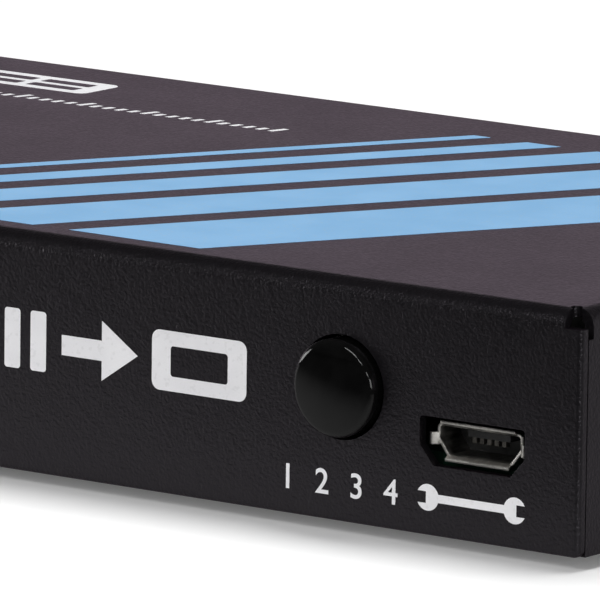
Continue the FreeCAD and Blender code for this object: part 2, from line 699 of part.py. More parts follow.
def pierce_tray(body):
    rear = new_sketch(body, "tray_rear_holes", "XZ", "case_rear - 2 * skin")
    shell = beveled("socket_width + 2 * socket_play", "socket_height + 2 * socket_play",
                    "socket_bevel", "socket_bevel")
    for x in socket_places():
        outline(rear, moved(shell, x, "socket_z"))
    circle(rear, "jack_x", "jack_z", "jack_nose_radius + jack_play")
    pocket(body, rear, "3 * skin")
    collars = {
        "tray_left_collars": "skin - tray_right",
        "tray_right_collars": "tray_right - skin - collar_length",
    }
    for name, start in collars.items():
        sketch = new_sketch(body, name, "YZ", start)
        for y in ("screw_y", "-screw_y"):
            circle(sketch, y, "screw_z", "collar_radius")
        pad(body, sketch, "collar_length")
    threads = new_sketch(body, "tray_screw_holes", "YZ", "-case_right")
    for y in ("screw_y", "-screw_y"):
        circle(threads, y, "screw_z", "case_screw_radius + thread_play")
    pocket(body, threads, "case_length")


def make_base_tray():
    body = new_body("BaseTray")
    fold_tray(body)
    pierce_tray(body)
    piece(body, "base_tray")


def socket_places():
    """Middle of each video socket: the inputs, then the output."""
    places = [f"first_input_x - {i} * socket_pitch" for i in range(INPUTS)]
    return places + ["output_x"]


def pan_screw(name, sizes, x, y, z, turn):
    """A screw with its head towards local +Z and a cross recess in it."""
    radius, length, head_radius, head_height = sizes
    body = new_body(name, x, y, z, turn)
    turned(body, name + "_profile", [
        ("0", f"-({length})"),
        (f"{radius} - tip_bevel", f"-({length})"),
        (radius, f"tip_bevel - ({length})"),
        (radius, "0"),
        (head_radius, "0"),
        (head_radius, "head_side"),
        (f"{head_radius} - head_slope", head_height),
        ("0", head_height),
    ])
    cross = new_sketch(body, name + "_cross", "XY", f"{head_height} - cross_depth")
    arm = "cross_reach"
    half = "cross_width / 2"
    outline(cross, [
        (f"-({arm})", f"-({half})"), (f"-({half})", f"-({half})"), (f"-({half})", f"-({arm})"),
        (half, f"-({arm})"), (half, f"-({half})"), (arm, f"-({half})"),
        (arm, half), (half, half), (half, arm),
        (f"-({half})", arm), (f"-({half})", half), (f"-({arm})", half),
    ])
    pocket(body, cross, "cross_depth + skin")
    return body


def make_case_screws():
    sizes = ("case_screw_radius", "case_screw_length", "case_head_radius", "case_head_height")
    screws = []
    for side, turn in (("case_right", TO_RIGHT), ("-case_right", TO_LEFT)):
        for y in ("screw_y", "-screw_y"):
            name = f"CaseScrew{len(screws) + 1}"
            screws.append(pan_screw(name, sizes, side, y, "screw_z", turn))
    piece(group("CaseScrews", screws), "case_screws")


def make_rubber_feet():
    feet = []
    for x in ("foot_x", "-foot_x"):
        for y in ("foot_y", "-foot_y"):
            body = new_body(f"Foot{len(feet) + 1}", x, y, "0")
            turned(body, body.Name + "_profile", [
                ("0", "0"),
                ("foot_radius - foot_round", "0"),
                ("foot_radius", "foot_round"),
                ("foot_radius", "foot_thick"),
                ("0", "foot_thick"),
            ])
            feet.append(body)
    piece(group("RubberFeet", feet), "rubber_feet")


# Main board, the sheet under it and what holds it
def board_holes():
    return [(x, y) for x in ("hole_x", "-hole_x") for y in ("hole_front_y", "hole_rear_y")]


def make_main_board():
    body = new_body("MainBoard")
    plan = new_sketch(body, "board_plan", "XY", "board_bottom")
    outline(plan, rectangle("-board_right", "board_front", "board_right", "board_rear"))
    pad(body, plan, "board_thick")
    corners = [{"x": x, "y": y} for x in ("board_right", "-board_right")
               for y in ("board_front", "board_rear")]
    round_edges(body, "board_corners", "board_corner", corners)
    holes = new_sketch(body, "board_screw_holes", "XY", "board_bottom - skin")
    for x, y in board_holes():
        circle(holes, x, y, "board_screw_radius + board_hole_play")
    pocket(body, holes, "board_thick + 2 * skin")
    piece(body, "main_board")


def make_insulating_sheet():
    body = new_body("InsulatingSheet")
    plan = new_sketch(body, "film_plan", "XY", "floor_top")
    side = "tray_right - skin - film_margin"
    front = "tray_front + film_margin"
    outline(plan, rectangle(f"-({side})", front, side, "case_rear - skin - film_margin"))
    pad(body, plan, "film_thick")
    holes = new_sketch(body, "film_holes", "XY", "floor_top - film_thick")
    for x, y in board_holes():
        circle(holes, x, y, "standoff_radius + film_play")
    pocket(body, holes, "3 * film_thick")
    piece(body, "insulating_sheet")


def make_board_mounting():
    standoffs = []
    screws = []
    length = "board_thick + standoff_height - board_screw_tip"
    sizes = ("board_screw_radius", length, "board_head_radius", "board_head_height")
    for x, y in board_holes():
        number = len(screws) + 1
        body = new_body(f"Standoff{number}", x, y, "floor_top")
        bore = "board_screw_radius + thread_play"
        turned(body, body.Name + "_profile", rectangle(bore, "0", "standoff_radius", "standoff_height"))
        standoffs.append(body)
        screws.append(pan_screw(f"BoardScrew{number}", sizes, x, y, "board_top", UPWARD))
    piece(group("Standoffs", standoffs), "board_standoffs")
    piece(group("BoardScrews", screws), "board_screws")


# Video sockets: the local origin is the middle of the mouth, and the socket runs towards -Y
def make_socket_shell(name, x):
    body = new_body(name + "Shell", x, "socket_y", "socket_z")
    outer = new_sketch(body, name + "_shell_outside", "XZ", "-socket_depth")
    outline(outer, beveled("socket_width", "socket_height", "socket_bevel", "socket_bevel"))
    pad(body, outer, "socket_depth")
    inner = new_sketch(body, name + "_shell_inside", "XZ", "-socket_depth - socket_wall")
    outline(inner, socket_bore())
    pocket(body, inner, "socket_depth + 2 * socket_wall")
    right = "socket_width / 2"
    legs = {
        "front": "board_rear - socket_y - 2 * socket_leg",
        "back": "-socket_depth + socket_leg",
    }
    for end, start in legs.items():
        feet = new_sketch(body, f"{name}_{end}_legs", "XZ", start)
        knee = "-socket_height / 4"
        outline(feet, rectangle(f"-{right}", "-socket_rise", f"socket_wall - {right}", knee))
        outline(feet, rectangle(f"{right} - socket_wall", "-socket_rise", right, knee))
        pad(body, feet, "socket_leg")
    return body


def socket_bore():
    """Outline of the space inside a video socket's shell."""
    bevel = bevel_inside("socket_bevel", "socket_bevel", "socket_wall")
    return beveled("socket_width", "socket_height", bevel, bevel, "socket_wall")


def make_socket_insulator(name, x):
    body = new_body(name + "Insulator", x, "socket_y", "socket_z")
    rear = new_sketch(body, name + "_block", "XZ", "-socket_depth")
    outline(rear, socket_bore())
    pad(body, rear, "socket_block")
    tongue = new_sketch(body, name + "_tongue", "XZ", "-socket_depth + socket_block / 2")
    half = "tongue_width / 2"
    outline(tongue, rectangle(f"-{half}", "-tongue_thick / 2", half, "tongue_thick / 2"))
    pad(body, tongue, "socket_depth - socket_block / 2 - tongue_recess")
    return body


def make_socket_contacts(name, x):
    """Two rows of contacts: each lies on the tongue, passes the block and turns down to the board."""
    body = new_body(name + "Contacts", x, "socket_y", "socket_z")
    rows = {
        "upper": (UPPER_CONTACTS, "tongue_thick / 2"),
        "lower": (LOWER_CONTACTS, "-tongue_thick / 2 - contact_thick"),
    }
    back = "-socket_depth - contact_tail"
    for row, (count, level) in rows.items():
        left = f"-{count - 1} / 2 * contact_pitch - contact_width / 2"
        right = f"{left} + contact_width"
        blade = new_sketch(body, f"{name}_{row}_blade", "XY", level)
        outline(blade, rectangle(left, back, right, "-tongue_recess - contact_tail"))
        blade_pad = pad(body, blade, "contact_thick")
        tail = new_sketch(body, f"{name}_{row}_tail", "XZ", back)
        outline(tail, rectangle(left, "-socket_rise", right, f"{level} + contact_thick"))
        tail_pad = pad(body, tail, "contact_thick * 2")
        repeat(body, f"{name}_{row}_row", [blade_pad, tail_pad], tail, "contact_pitch", count)
    return body


def make_video_sockets():
    names = [f"input_{i + 1}" for i in range(INPUTS)] + ["output"]
    for label, x in zip(names, socket_places()):
        name = label.replace("_", "").capitalize()
        piece(make_socket_shell(name, x), label + "_shell")
        piece(make_socket_insulator(name, x), label + "_insulator")
        piece(make_socket_contacts(name, x), label + "_contacts")


# Power socket: the local origin is the middle of the mouth, and the socket runs towards -Y
def make_power_socket():
    body = new_body("JackBody", "jack_x", "jack_y", "jack_z")
    back = "-jack_stand - skin - jack_depth"
    case = new_sketch(body, "jack_case", "XZ", back)
    half_width = "jack_width / 2"
    half_height = "jack_height / 2"
    outline(case, rectangle(f"-{half_width}", f"-{half_height}", half_width, half_height))
    pad(body, case, "jack_depth")
    nose = new_sketch(body, "jack_nose", "XZ", "-jack_stand - skin - flange_lap")
    circle(nose, "0", "0", "jack_nose_radius")
    pad(body, nose, "jack_stand + skin + flange_lap")
    bore = new_sketch(body, "jack_bore_hole", "XZ", "-jack_bore_depth")
    circle(bore, "0", "0", "jack_bore")
    pocket(body, bore, "jack_bore_depth + skin")
    piece(body, "power_socket_body")

    pin = new_body("JackPin", "jack_x", "jack_y - jack_bore_depth", "jack_z", FORWARD)
    tip = "jack_bore_depth - jack_pin_recess"
    turned(pin, "jack_pin_profile", [
        ("0", f"-({tip})"),
        ("jack_pin_radius - jack_pin_bevel", f"-({tip})"),
        ("jack_pin_radius", f"jack_pin_bevel - ({tip})"),
        ("jack_pin_radius", "0"),
        ("0", "0"),
    ])
    piece(pin, "power_socket_pin")

    spring = block("JackSpring",
                   ("jack_x - jack_spring_width / 2", "jack_y - jack_bore_depth",
                    "jack_z - jack_bore + jack_spring_lift"),
                   ("jack_spring_width", "jack_bore_depth - 2 * jack_pin_recess", "jack_spring_thick"))
    piece(spring, "power_socket_spring")


# Service port: the local origin is the middle of the rim, and the port runs towards +Y
def make_port_shell():
    body = new_body("PortShell", "port_x", "port_y", "port_z")
    outer = new_sketch(body, "port_outside", "XZ")
    outside = beveled("port_width", "port_height", "port_bevel_x", "port_bevel_z")
    outline(outer, outside)
    pad(body, outer, "port_depth")
    round_port_corners(body, "port_outer", outside)
    inner = new_sketch(body, "port_inside", "XZ", "-port_wall")
    outline(inner, port_bore())
    pocket(body, inner, "port_depth + 2 * port_wall")
    round_port_corners(body, "port_inner", port_bore(), "port_wall")
    upper = new_sketch(body, "port_upper_lip", "YZ", "-port_upper_lip / 2")
    outline(upper, port_lip("port_height / 2", "port_lip_flare"))
    pad(body, upper, "port_upper_lip")
    half = "port_width / 2 - port_bevel_x"
    lower = new_sketch(body, "port_lower_lip", "YZ", f"-({half})")
    outline(lower, [(y, f"-({z})") for y, z in port_lip("port_height / 2", "port_lip_flare")])
    pad(body, lower, f"2 * ({half})")
    lugs = new_sketch(body, "port_lugs", "XY", "port_lug_rise - port_lug_height / 2")
    lug = [(x, y) for y, x in port_lip("port_width / 2", "port_lug_flare")]
    outline(lugs, lug)
    outline(lugs, [(f"-({x})", y) for x, y in lug])
    pad(body, lugs, "port_lug_height")
    piece(body, "service_port_shell")


def round_port_corners(body, name, corners, inset="0"):
    """Round the upper and the lower corners of the port's outline, which lies in by inset."""
    upper, lower = (corners[0], corners[-1]), corners[1:-1]
    for level, radius, chosen in (("top", "port_top_round", upper), ("low", "port_low_round", lower)):
        spots = [{"x": x, "z": z} for x, z in chosen]
        round_edges(body, f"{name}_{level}_corners", f"{radius} - {inset}", spots)


def port_bore():
    """Outline of the space inside the service port's shell."""
    across = bevel_inside("port_bevel_x", "port_bevel_z", "port_wall")
    up = bevel_inside("port_bevel_z", "port_bevel_x", "port_wall")
    return beveled("port_width", "port_height", across, up, "port_wall")


def port_lip(edge, flare):
    """Section of a lip that leans outward in front of the rim, as (depth, distance) pairs."""
    return [
        ("0", f"{edge} - port_wall"),
        ("-port_lip_reach", f"{edge} - port_wall + {flare}"),
        ("-port_lip_reach", f"{edge} + {flare}"),
        ("0", edge),
    ]


def make_port_inside():
    body = new_body("PortTongue", "port_x", "port_y", "port_z")
    rear = new_sketch(body, "port_block_outline", "XZ", "port_depth - port_block")
    outline(rear, port_bore())
    pad(body, rear, "port_block")
    round_port_corners(body, "port_block", port_bore(), "port_wall")
    low = "port_tongue_rise - port_tongue_thick / 2"
    half = "port_tongue_width / 2"
    tongue = new_sketch(body, "port_tongue_outline", "XZ", "port_tongue_recess")
    outline(tongue, rectangle(f"-{half}", low, half, f"{low} + port_tongue_thick"))
    pad(body, tongue, "port_depth - port_block / 2 - port_tongue_recess")
    piece(body, "service_port_tongue")

    contacts = new_body("PortContacts", "port_x", "port_y", "port_z")
    left = f"-{PORT_CONTACTS - 1} / 2 * port_pitch - port_contact_width / 2"
    row = new_sketch(contacts, "port_contact_outline", "XZ", "port_tongue_recess")
    outline(row, rectangle(left, f"{low} - port_contact_thick", f"{left} + port_contact_width", low))
    strip = pad(contacts, row, "port_depth - port_block - port_tongue_recess")
    front = new_sketch(contacts, "port_nose_outline", "XZ", "port_tongue_recess")
    outline(front, rectangle(left, f"{low} - port_nose_height", f"{left} + port_contact_width", low))
    nose = pad(contacts, front, "port_nose_length")
    repeat(contacts, "port_contact_row", [strip, nose], row, "port_pitch", PORT_CONTACTS)
    piece(contacts, "service_port_contacts")


# Select button: its local origin is on the front face, and local +Z points out of the case
def make_button_cap():
    body = new_body("ButtonCap", "button_x", "case_front", "button_z", FORWARD)
    ceiling = "button_stand - button_top"
    inner = "button_radius - button_wall"
    boss_end = "boss_setback - skirt_end"
    bore = "stem_radius + stem_play"
    rim = "button_stand - button_crown"
    turned(body, "cap_profile", [
        ("button_radius", rim),
        ("0", "button_stand"),
        ("0", ceiling),
        (bore, ceiling),
        (bore, boss_end),
        ("boss_radius", boss_end),
        ("boss_radius", ceiling),
        (inner, ceiling),
        (inner, "-skirt_end"),
        ("button_radius", "-skirt_end"),
    ], domed=True)
    round_edges(body, "cap_rim", "button_rim", [{"z": rim}])
    piece(body, "button_cap")


def make_select_switch():
    plunger = new_body("Plunger", "button_x", "case_front", "button_z", FORWARD)
    collar_back = "collar_front + plunger_collar_thick"
    turned(plunger, "plunger_profile", [
        ("0", "button_stand - button_top"),
        ("stem_radius", "button_stand - button_top"),
        ("stem_radius", "-collar_front"),
        ("plunger_collar", "-collar_front"),
        ("plunger_collar", f"-({collar_back})"),
        ("nib_radius", f"-({collar_back})"),
        ("nib_radius", "-nib_end"),
        ("0", "-nib_end"),
    ])
    piece(plunger, "switch_plunger")

    dome = new_body("SnapDome", "button_x", "case_front", "button_z", FORWARD)
    foot = "switch_well - dome_thick"
    drop = "(dome_base - dome_top)"
    front = [(f"({foot}) * {out}", f"-dome_top - {drop} * {down}") for out, down in DOME_SHAPE]
    back = [(f"({x}) * (1 - dome_thick / ({foot}))", f"{z} - dome_thick") for x, z in reversed(front)]
    turned(dome, "dome_profile",
           front + [(foot, "-dome_base"), (f"{foot} - 2 * dome_thick", "-dome_base")] + back)
    piece(dome, "switch_dome")

    housing = new_body("SwitchHousing", "button_x", "case_front", "button_z")
    half = "switch_width / 2"
    shape = new_sketch(housing, "housing_outline", "XZ", "housing_front")
    outline(shape, rectangle(f"-{half}", "-button_rise", half, half))
    pad(housing, shape, "switch_depth")
    well = new_sketch(housing, "housing_well", "XZ", "housing_front - skin")
    circle(well, "0", "0", "switch_well")
    pocket(housing, well, "skin + switch_well_depth")
    piece(housing, "switch_housing")

    bracket = new_body("SwitchBracket", "button_x", "case_front", "button_z")
    arm = f"{half} + bracket_thick"
    plan = new_sketch(bracket, "bracket_plan", "XY", "-button_rise")
    outline(plan, [
        (f"-({arm})", "bracket_front"),
        (arm, "bracket_front"),
        (arm, "housing_back"),
        (half, "housing_back"),
        (half, "housing_front"),
        (f"-{half}", "housing_front"),
        (f"-{half}", "housing_back"),
        (f"-({arm})", "housing_back"),
    ])
    pad(bracket, plan, f"button_rise + {half}")
    hole = new_sketch(bracket, "bracket_hole", "XZ", "bracket_front - bracket_thick")
    circle(hole, "0", "0", "stem_radius + bracket_play")
    pocket(bracket, hole, "3 * bracket_thick")
    piece(bracket, "switch_bracket")

    terminals = new_body("SwitchTerminals", "button_x", "case_front", "board_top")
    for side in SIDES:
        middle = f"{side} * switch_width / 4"
        name = "left_terminal" if side < 0 else "right_terminal"
        sketch = new_sketch(terminals, name, "XZ", "housing_back")
        edge = f"{middle} - terminal_width / 2"
        outline(sketch, rectangle(edge, "0", f"{edge} + terminal_width", "button_rise / 2"))
        pad(terminals, sketch, "terminal_thick")
    piece(terminals, "switch_terminals")


# Indicator lights: the local origin is the tip of the nose, and local +Z points out of the case
def make_light(name, x):
    body = new_body(name, x, "light_y", "light_z", FORWARD)
    turned(body, name + "_profile", rectangle("0", "-light_length", "light_radius", "0"))
    round_edges(body, name + "_nose", "light_nose", [{"z": "0"}])
    return body


def make_holder(name, x):
    half = "light_holder / 2"
    back = "light_y + light_length"
    height = "light_rise + light_holder / 2"
    solid = block(name + "Block", (f"{x} - {half}", f"{back} - light_holder_depth", "board_top"),
                  ("light_holder", "light_holder_depth", height))
    bore = rod(name + "Bore", "light_radius + light_play / 2", "light_holder_depth * 2",
               x, f"{back} + light_holder_depth / 2", "light_z", FORWARD)
    return cut(name, solid, bore)


def make_lights():
    spots = [f"input_light_x + {i} * light_pitch" for i in range(INPUTS)]
    inputs = [make_light(f"InputLight{i + 1}", x) for i, x in enumerate(spots)]
    piece(make_light("PowerLight", "power_light_x"), "power_light")
    piece(group("InputLights", inputs), "input_lights")
    places = ["power_light_x"] + spots
    holders = [make_holder(f"LightHolder{i + 1}", x) for i, x in enumerate(places)]
    piece(group("LightHolders", holders), "light_holders")


def make_infrared_eye():
    window = new_body("EyeWindow", "eye_x", "case_front", "eye_z", FORWARD)
    turned(window, "window_profile", [
        ("0", "0"),
        ("eye_radius", "0"),
        ("eye_radius", "-skin"),
        ("eye_flange", "-skin"),
        ("eye_flange", "-skin - eye_flange_thick"),
        ("0", "-skin - eye_flange_thick"),
    ])
    piece(window, "infrared_window")

    front = "case_front + skin + eye_flange_thick + eye_gap + receiver_lens"
    receiver = new_body("EyeReceiver", "eye_x", front, "board_top")
    shape = new_sketch(receiver, "receiver_outline", "XZ")
    half = "receiver_width / 2"
    outline(shape, rectangle(f"-{half}", "0", half, "receiver_height"))
    pad(receiver, shape, "receiver_depth")
    lens = new_sketch(receiver, "receiver_lens_outline", "XY", "eye_rise - receiver_lens")
    circle(lens, "0", "0", "receiver_lens")
    pad(receiver, lens, "2 * receiver_lens")
    piece(receiver, "infrared_receiver")


# Board components: each stands on the board's upper face
def chip(name, x, y, width, length, thick, bottom="board_top"):
    """A flat block centred at x, y."""
    return block(name, (f"{x} - ({width}) / 2", f"{y} - ({length}) / 2", bottom), (width, length, thick))


def make_processor():
    piece(chip("Processor", "0", "processor_y", "processor_size", "processor_size", "processor_thick"),
          "video_processor")
    piece(chip("ThermalPad", "0", "processor_y", "thermal_size", "thermal_size", "thermal_thick",
               "board_top + processor_thick"), "thermal_pad")
    sink = new_body("HeatSink", "0", "processor_y", "sink_bottom")
    half = "sink_size / 2"
    base = new_sketch(sink, "sink_plan", "XY")
    outline(base, rectangle(f"-{half}", f"-{half}", half, half))
    pad(sink, base, "sink_height")
    gap = new_sketch(sink, "sink_gap", "XZ", f"-{half} - skin")
    left = f"-{half} + fin_pitch - fin_gap"
    outline(gap, rectangle(left, "sink_base", f"{left} + fin_gap", "sink_height + skin"))
    first = pocket(sink, gap, "sink_size + 2 * skin")
    gaps = int((value("sink_size") - value("fin_pitch - fin_gap") + NEAR) // value("fin_pitch"))
    repeat(sink, "sink_gaps", [first], gap, "fin_pitch", gaps)
    piece(sink, "heat_sink")


def make_chips():
    receivers = []
    for i, x in enumerate(socket_places()[:INPUTS]):
        receivers.append(chip(f"ReceiverChip{i + 1}", x, "receiver_chip_y", "receiver_chip",
                              "receiver_chip", "receiver_chip_thick"))
    piece(group("ReceiverChips", receivers), "receiver_chips")
    memory_x = "sink_size / 2 + memory_gap + memory_width / 2"
    memory = [chip(f"Memory{number}", f"{side} * ({memory_x})", "memory_y", "memory_width",
                   "memory_length", "memory_thick") for number, side in enumerate(SIDES, 1)]
    piece(group("MemoryChips", memory), "memory_chips")
    controller_y = "case_front + housing_back + controller_gap + controller_size / 2"
    piece(chip("Controller", "button_x", controller_y, "controller_size", "controller_size",
               "controller_thick"), "microcontroller")
    crystal = new_body("Crystal", "button_x - crystal_left", controller_y, "board_top")
    plan = new_sketch(crystal, "crystal_plan", "XY")
    half_length = "crystal_length / 2"
    half_width = "crystal_width / 2"
    outline(plan, rectangle(f"-{half_length}", f"-{half_width}", half_length, half_width))
    pad(crystal, plan, "crystal_height")
    ends = [{"x": x, "y": y} for x in (half_length, f"-{half_length}")
            for y in (half_width, f"-{half_width}")]
    round_edges(crystal, "crystal_ends", "crystal_round", ends)
    piece(crystal, "crystal")


def make_power_parts():
    regulators = [chip(f"Regulator{i + 1}", f"jack_x - regulator_left + {i} * regulator_pitch",
                       "regulator_y", "regulator_width", "regulator_length", "regulator_thick")
                  for i in range(REGULATORS)]
    piece(group("Regulators", regulators), "voltage_regulators")
    coil = chip("InductorBlock", "jack_x - inductor_left", "power_y", "inductor_size", "inductor_size",
                "inductor_height")
    doc.recompute()
    beveled_coil = doc.addObject("Part::Chamfer", "Inductor")
    beveled_coil.Base = coil
    uprights = []
    for number, edge in enumerate(coil.Shape.Edges, 1):
        if edge.BoundBox.ZLength > NEAR:
            uprights.append((number, value("inductor_bevel"), value("inductor_bevel")))
    beveled_coil.Edges = uprights
    piece(beveled_coil, "power_inductor")
    cans = []
    for i in range(CAPACITORS):
        x = f"jack_x + capacitor_right + {i} * capacitor_pitch"
        body = new_body(f"Capacitor{i + 1}", x, "power_y", "board_top")
        turned(body, body.Name + "_profile", rectangle("0", "0", "capacitor_radius", "capacitor_height"))
        round_edges(body, body.Name + "_rim", "capacitor_rim", [{"z": "capacitor_height"}])
        cans.append(body)
    piece(group("Capacitors", cans), "capacitors")


def check_model():
    """Stop if anything failed to build."""
    for item in doc.Objects:
        if "Invalid" in item.State or "Error" in item.State:
            raise ValueError(item.Name + " failed to build")
    for item in pieces:
        if item.Shape.isNull() or not item.Shape.isValid() or not item.Shape.Solids:
            raise ValueError(item.Label + " has no valid shape")


def write_pieces():
    os.makedirs("parts", exist_ok=True)
    for item in pieces:
        item.Shape.exportStep(f"parts/{item.Label}.step")
        print(f"{item.Label}: {len(item.Shape.Solids)} solids, {item.Shape.Volume:.2f} mm3")


fill_sheet()
make_top_cover()
make_base_tray()
make_case_screws()
make_rubber_feet()
make_main_board()
make_insulating_sheet()
make_board_mounting()
make_video_sockets()
make_power_socket()
make_port_shell()
make_port_inside()
make_button_cap()
make_select_switch()
make_lights()
make_infrared_eye()
make_processor()
make_chips()
make_power_parts()
doc.recompute()
check_model()
write_pieces()
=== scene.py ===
# %% [markdown]
# # A low sheet-metal switch box
#
# The object is a black box that sends one of four video sources to one screen. It is folded from thin
# steel, powder coated, printed in white and pale blue, and has one glossy push button and one small
# service port in its front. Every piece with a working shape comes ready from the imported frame. This
# lesson gives each of them its finish, adds the printing as thin crisp shapes, and sets up a plain
# studio with the camera where the photographer stood.

# %% Load the frame
import math

import bmesh
import bpy
from mathutils import Matrix, Vector


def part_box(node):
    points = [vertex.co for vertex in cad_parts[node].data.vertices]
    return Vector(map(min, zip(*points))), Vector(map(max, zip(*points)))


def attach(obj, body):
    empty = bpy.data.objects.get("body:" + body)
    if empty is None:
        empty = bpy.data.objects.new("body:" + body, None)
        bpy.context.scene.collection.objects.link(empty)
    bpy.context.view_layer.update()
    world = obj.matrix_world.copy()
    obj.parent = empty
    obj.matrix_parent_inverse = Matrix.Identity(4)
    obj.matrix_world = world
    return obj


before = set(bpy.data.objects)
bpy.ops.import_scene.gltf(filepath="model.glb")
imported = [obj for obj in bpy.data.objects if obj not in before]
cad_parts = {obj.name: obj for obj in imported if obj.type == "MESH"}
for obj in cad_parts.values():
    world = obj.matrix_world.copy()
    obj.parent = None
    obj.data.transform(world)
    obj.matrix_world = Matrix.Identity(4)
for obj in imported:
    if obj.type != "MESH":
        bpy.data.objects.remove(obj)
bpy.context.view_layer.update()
MM = 0.001
cover_low, cover_high = (Vector(corner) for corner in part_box("top_cover"))
cover_size = [round(side / MM, 2) for side in cover_high - cover_low]
print("nodes:", len(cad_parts), "cover:", cover_size, "mm")

# %% [markdown]
# ## Shader maths as plain expressions
#
# A finish is a small formula: so much of one colour, so much of another, where some noise is high. The
# node editor draws such a formula as boxes and wires. Here one class wraps the output of a node, so
# that `0.4 + 0.2 * grain` reads like the formula and adds the Math nodes by itself. Colours and
# directions don't go through Math nodes, because those would turn them grey, so they have methods of
# their own that use Mix and Vector Math.

# %% A wrapped node output
class Wire:
    """The output of a node in one finish. Arithmetic on it adds Math nodes."""

    def __init__(self, finish, socket):
        self.finish = finish
        self.socket = socket

    def maths(self, operation, *terms):
        return self.finish.node("ShaderNodeMath", {"operation": operation}, dict(enumerate(terms)))

    def __add__(self, other):
        return self.maths("ADD", self, other)

    def __sub__(self, other):
        return self.maths("SUBTRACT", self, other)

    def __rsub__(self, other):
        return self.maths("SUBTRACT", other, self)

    def __mul__(self, other):
        return self.maths("MULTIPLY", self, other)

    def __gt__(self, other):
        return self.maths("GREATER_THAN", self, other)

    __radd__ = __add__
    __rmul__ = __mul__

    def clipped(self, low, high):
        """0 where this value is under low, 1 where it is over high, and a smooth step between."""
        settings = {"interpolation_type": "SMOOTHSTEP"}
        sockets = {"Value": self, "From Min": low, "From Max": high}
        return self.finish.node("ShaderNodeMapRange", settings, sockets)

    def vectors(self, operation, other=None, output=0):
        """Vector Math on this direction or position."""
        sockets = {0: self} if other is None else {0: self, 1: other}
        return self.finish.node("ShaderNodeVectorMath", {"operation": operation}, sockets, output)

    def stretched(self, x, y, z):
        """This position with each axis multiplied, for grain that runs one way."""
        return self.vectors("MULTIPLY", (x, y, z))

    def along(self, x, y, z):
        """How far this position or direction reaches along another one."""
        return self.vectors("DOT_PRODUCT", (x, y, z), output="Value")

    def length(self):
        return self.vectors("LENGTH", output="Value")


# %% A finish and its nodes
class Finish:
    """One material, or the world, and the nodes that it is made of."""

    def __init__(self, owner):
        self.owner = owner
        owner.use_nodes = True
        self.tree = owner.node_tree
        self.tree.nodes.clear()

    def node(self, kind, settings=None, inputs=None, output=0):
        """Add a node: its settings first, then a value or a wire for each of its sockets."""
        made = self.tree.nodes.new(kind)
        for name, setting in (settings or {}).items():
            setattr(made, name, setting)
        for name, content in (inputs or {}).items():
            self.feed(made.inputs[name], content)
        return Wire(self, made.outputs[output]) if made.outputs else made

    def feed(self, socket, content):
        if isinstance(content, Wire):
            self.tree.links.new(content.socket, socket)
        else:
            socket.default_value = content

    # A Mix node has sockets for each kind of content: 4 and 5 take directions, 6 and 7 take colours.
    def blend(self, amount, first, second):
        """The first colour where amount is 0, and the second where it is 1."""
        settings = {"data_type": "RGBA", "clamp_factor": True}
        return self.node("ShaderNodeMix", settings, {"Factor": amount, 6: first, 7: second}, output=2)

    def blend_ways(self, amount, first, second):
        """The first direction where amount is 0, and the second where it is 1."""
        settings = {"data_type": "VECTOR"}
        return self.node("ShaderNodeMix", settings, {"Factor": amount, 4: first, 5: second}, output=1)

    def place(self):
        """Where a point of the surface is on the object, in metres."""
        return self.node("ShaderNodeTexCoord", output="Object")

    def noise(self, size, detail=2.0, where=None):
        """Soft random clouds. Size is the width of one cloud in millimetres."""
        sockets = {"Vector": where or self.place(), "Scale": 1 / (size * MM), "Detail": detail}
        return self.node("ShaderNodeTexNoise", None, sockets)

    def cells(self, size):
        """Distance to the nearest of many random points that lie about size millimetres apart."""
        sockets = {"Vector": self.place(), "Scale": 1 / (size * MM)}
        return self.node("ShaderNodeTexVoronoi", {"feature": "F1"}, sockets)

    def soft_edge(self, radius):
        """Normals that turn smoothly over each sharp edge, as if it had a radius in millimetres."""
        return self.node("ShaderNodeBevel", {"samples": 4}, {"Radius": radius * MM})

    def bump(self, height, depth, strength=1.0, base=None):
        """Normals that follow a height of 0 to 1, where 1 is depth millimetres, over base normals."""
        sockets = {"Strength": strength, "Distance": depth * MM, "Height": height}
        if base:
            sockets["Normal"] = base
        return self.node("ShaderNodeBump", None, sockets)

    def surface(self, **sockets):
        """Finish the material with a Principled surface. Underscores in the names stand for spaces."""
        named = {name.replace("_", " "): content for name, content in sockets.items()}
        shader = self.node("ShaderNodeBsdfPrincipled", None, named)
        self.node("ShaderNodeOutputMaterial", None, {"Surface": shader})
        return self.owner

    def for_camera(self, shown, otherwise):
        """One shader where the camera looks at it directly, and another for every other ray."""
        camera_ray = self.node("ShaderNodeLightPath", output="Is Camera Ray")
        return self.node("ShaderNodeMixShader", None, {0: camera_ray, 1: otherwise, 2: shown})


# %% New finishes and where they are kept
finishes = {}


def new_finish(name):
    return Finish(bpy.data.materials.new(name))


def keep(made):
    """Keep finished materials under the names by which the frame's nodes ask for them."""
    finishes.update(made)
    print("finishes:", ", ".join(made))


# %% [markdown]
# ## Black powder coat
#
# The steel is sprayed with dry paint powder and baked, so the grains melt into a hard satin skin with
# a very fine leathery texture. Face on it is nearly black. Seen along the surface, as the lid is in
# the photograph, it turns to a soft plum grey. A plain black with ordinary gloss would go neutral grey
# there. So a clear layer with a faint tint lies over the black, and since light takes a longer way
# through a layer at a low angle, the tint shows on the lid and hardly on the front. The leather is two
# noises, one for the grains and one for the slow waves between them.

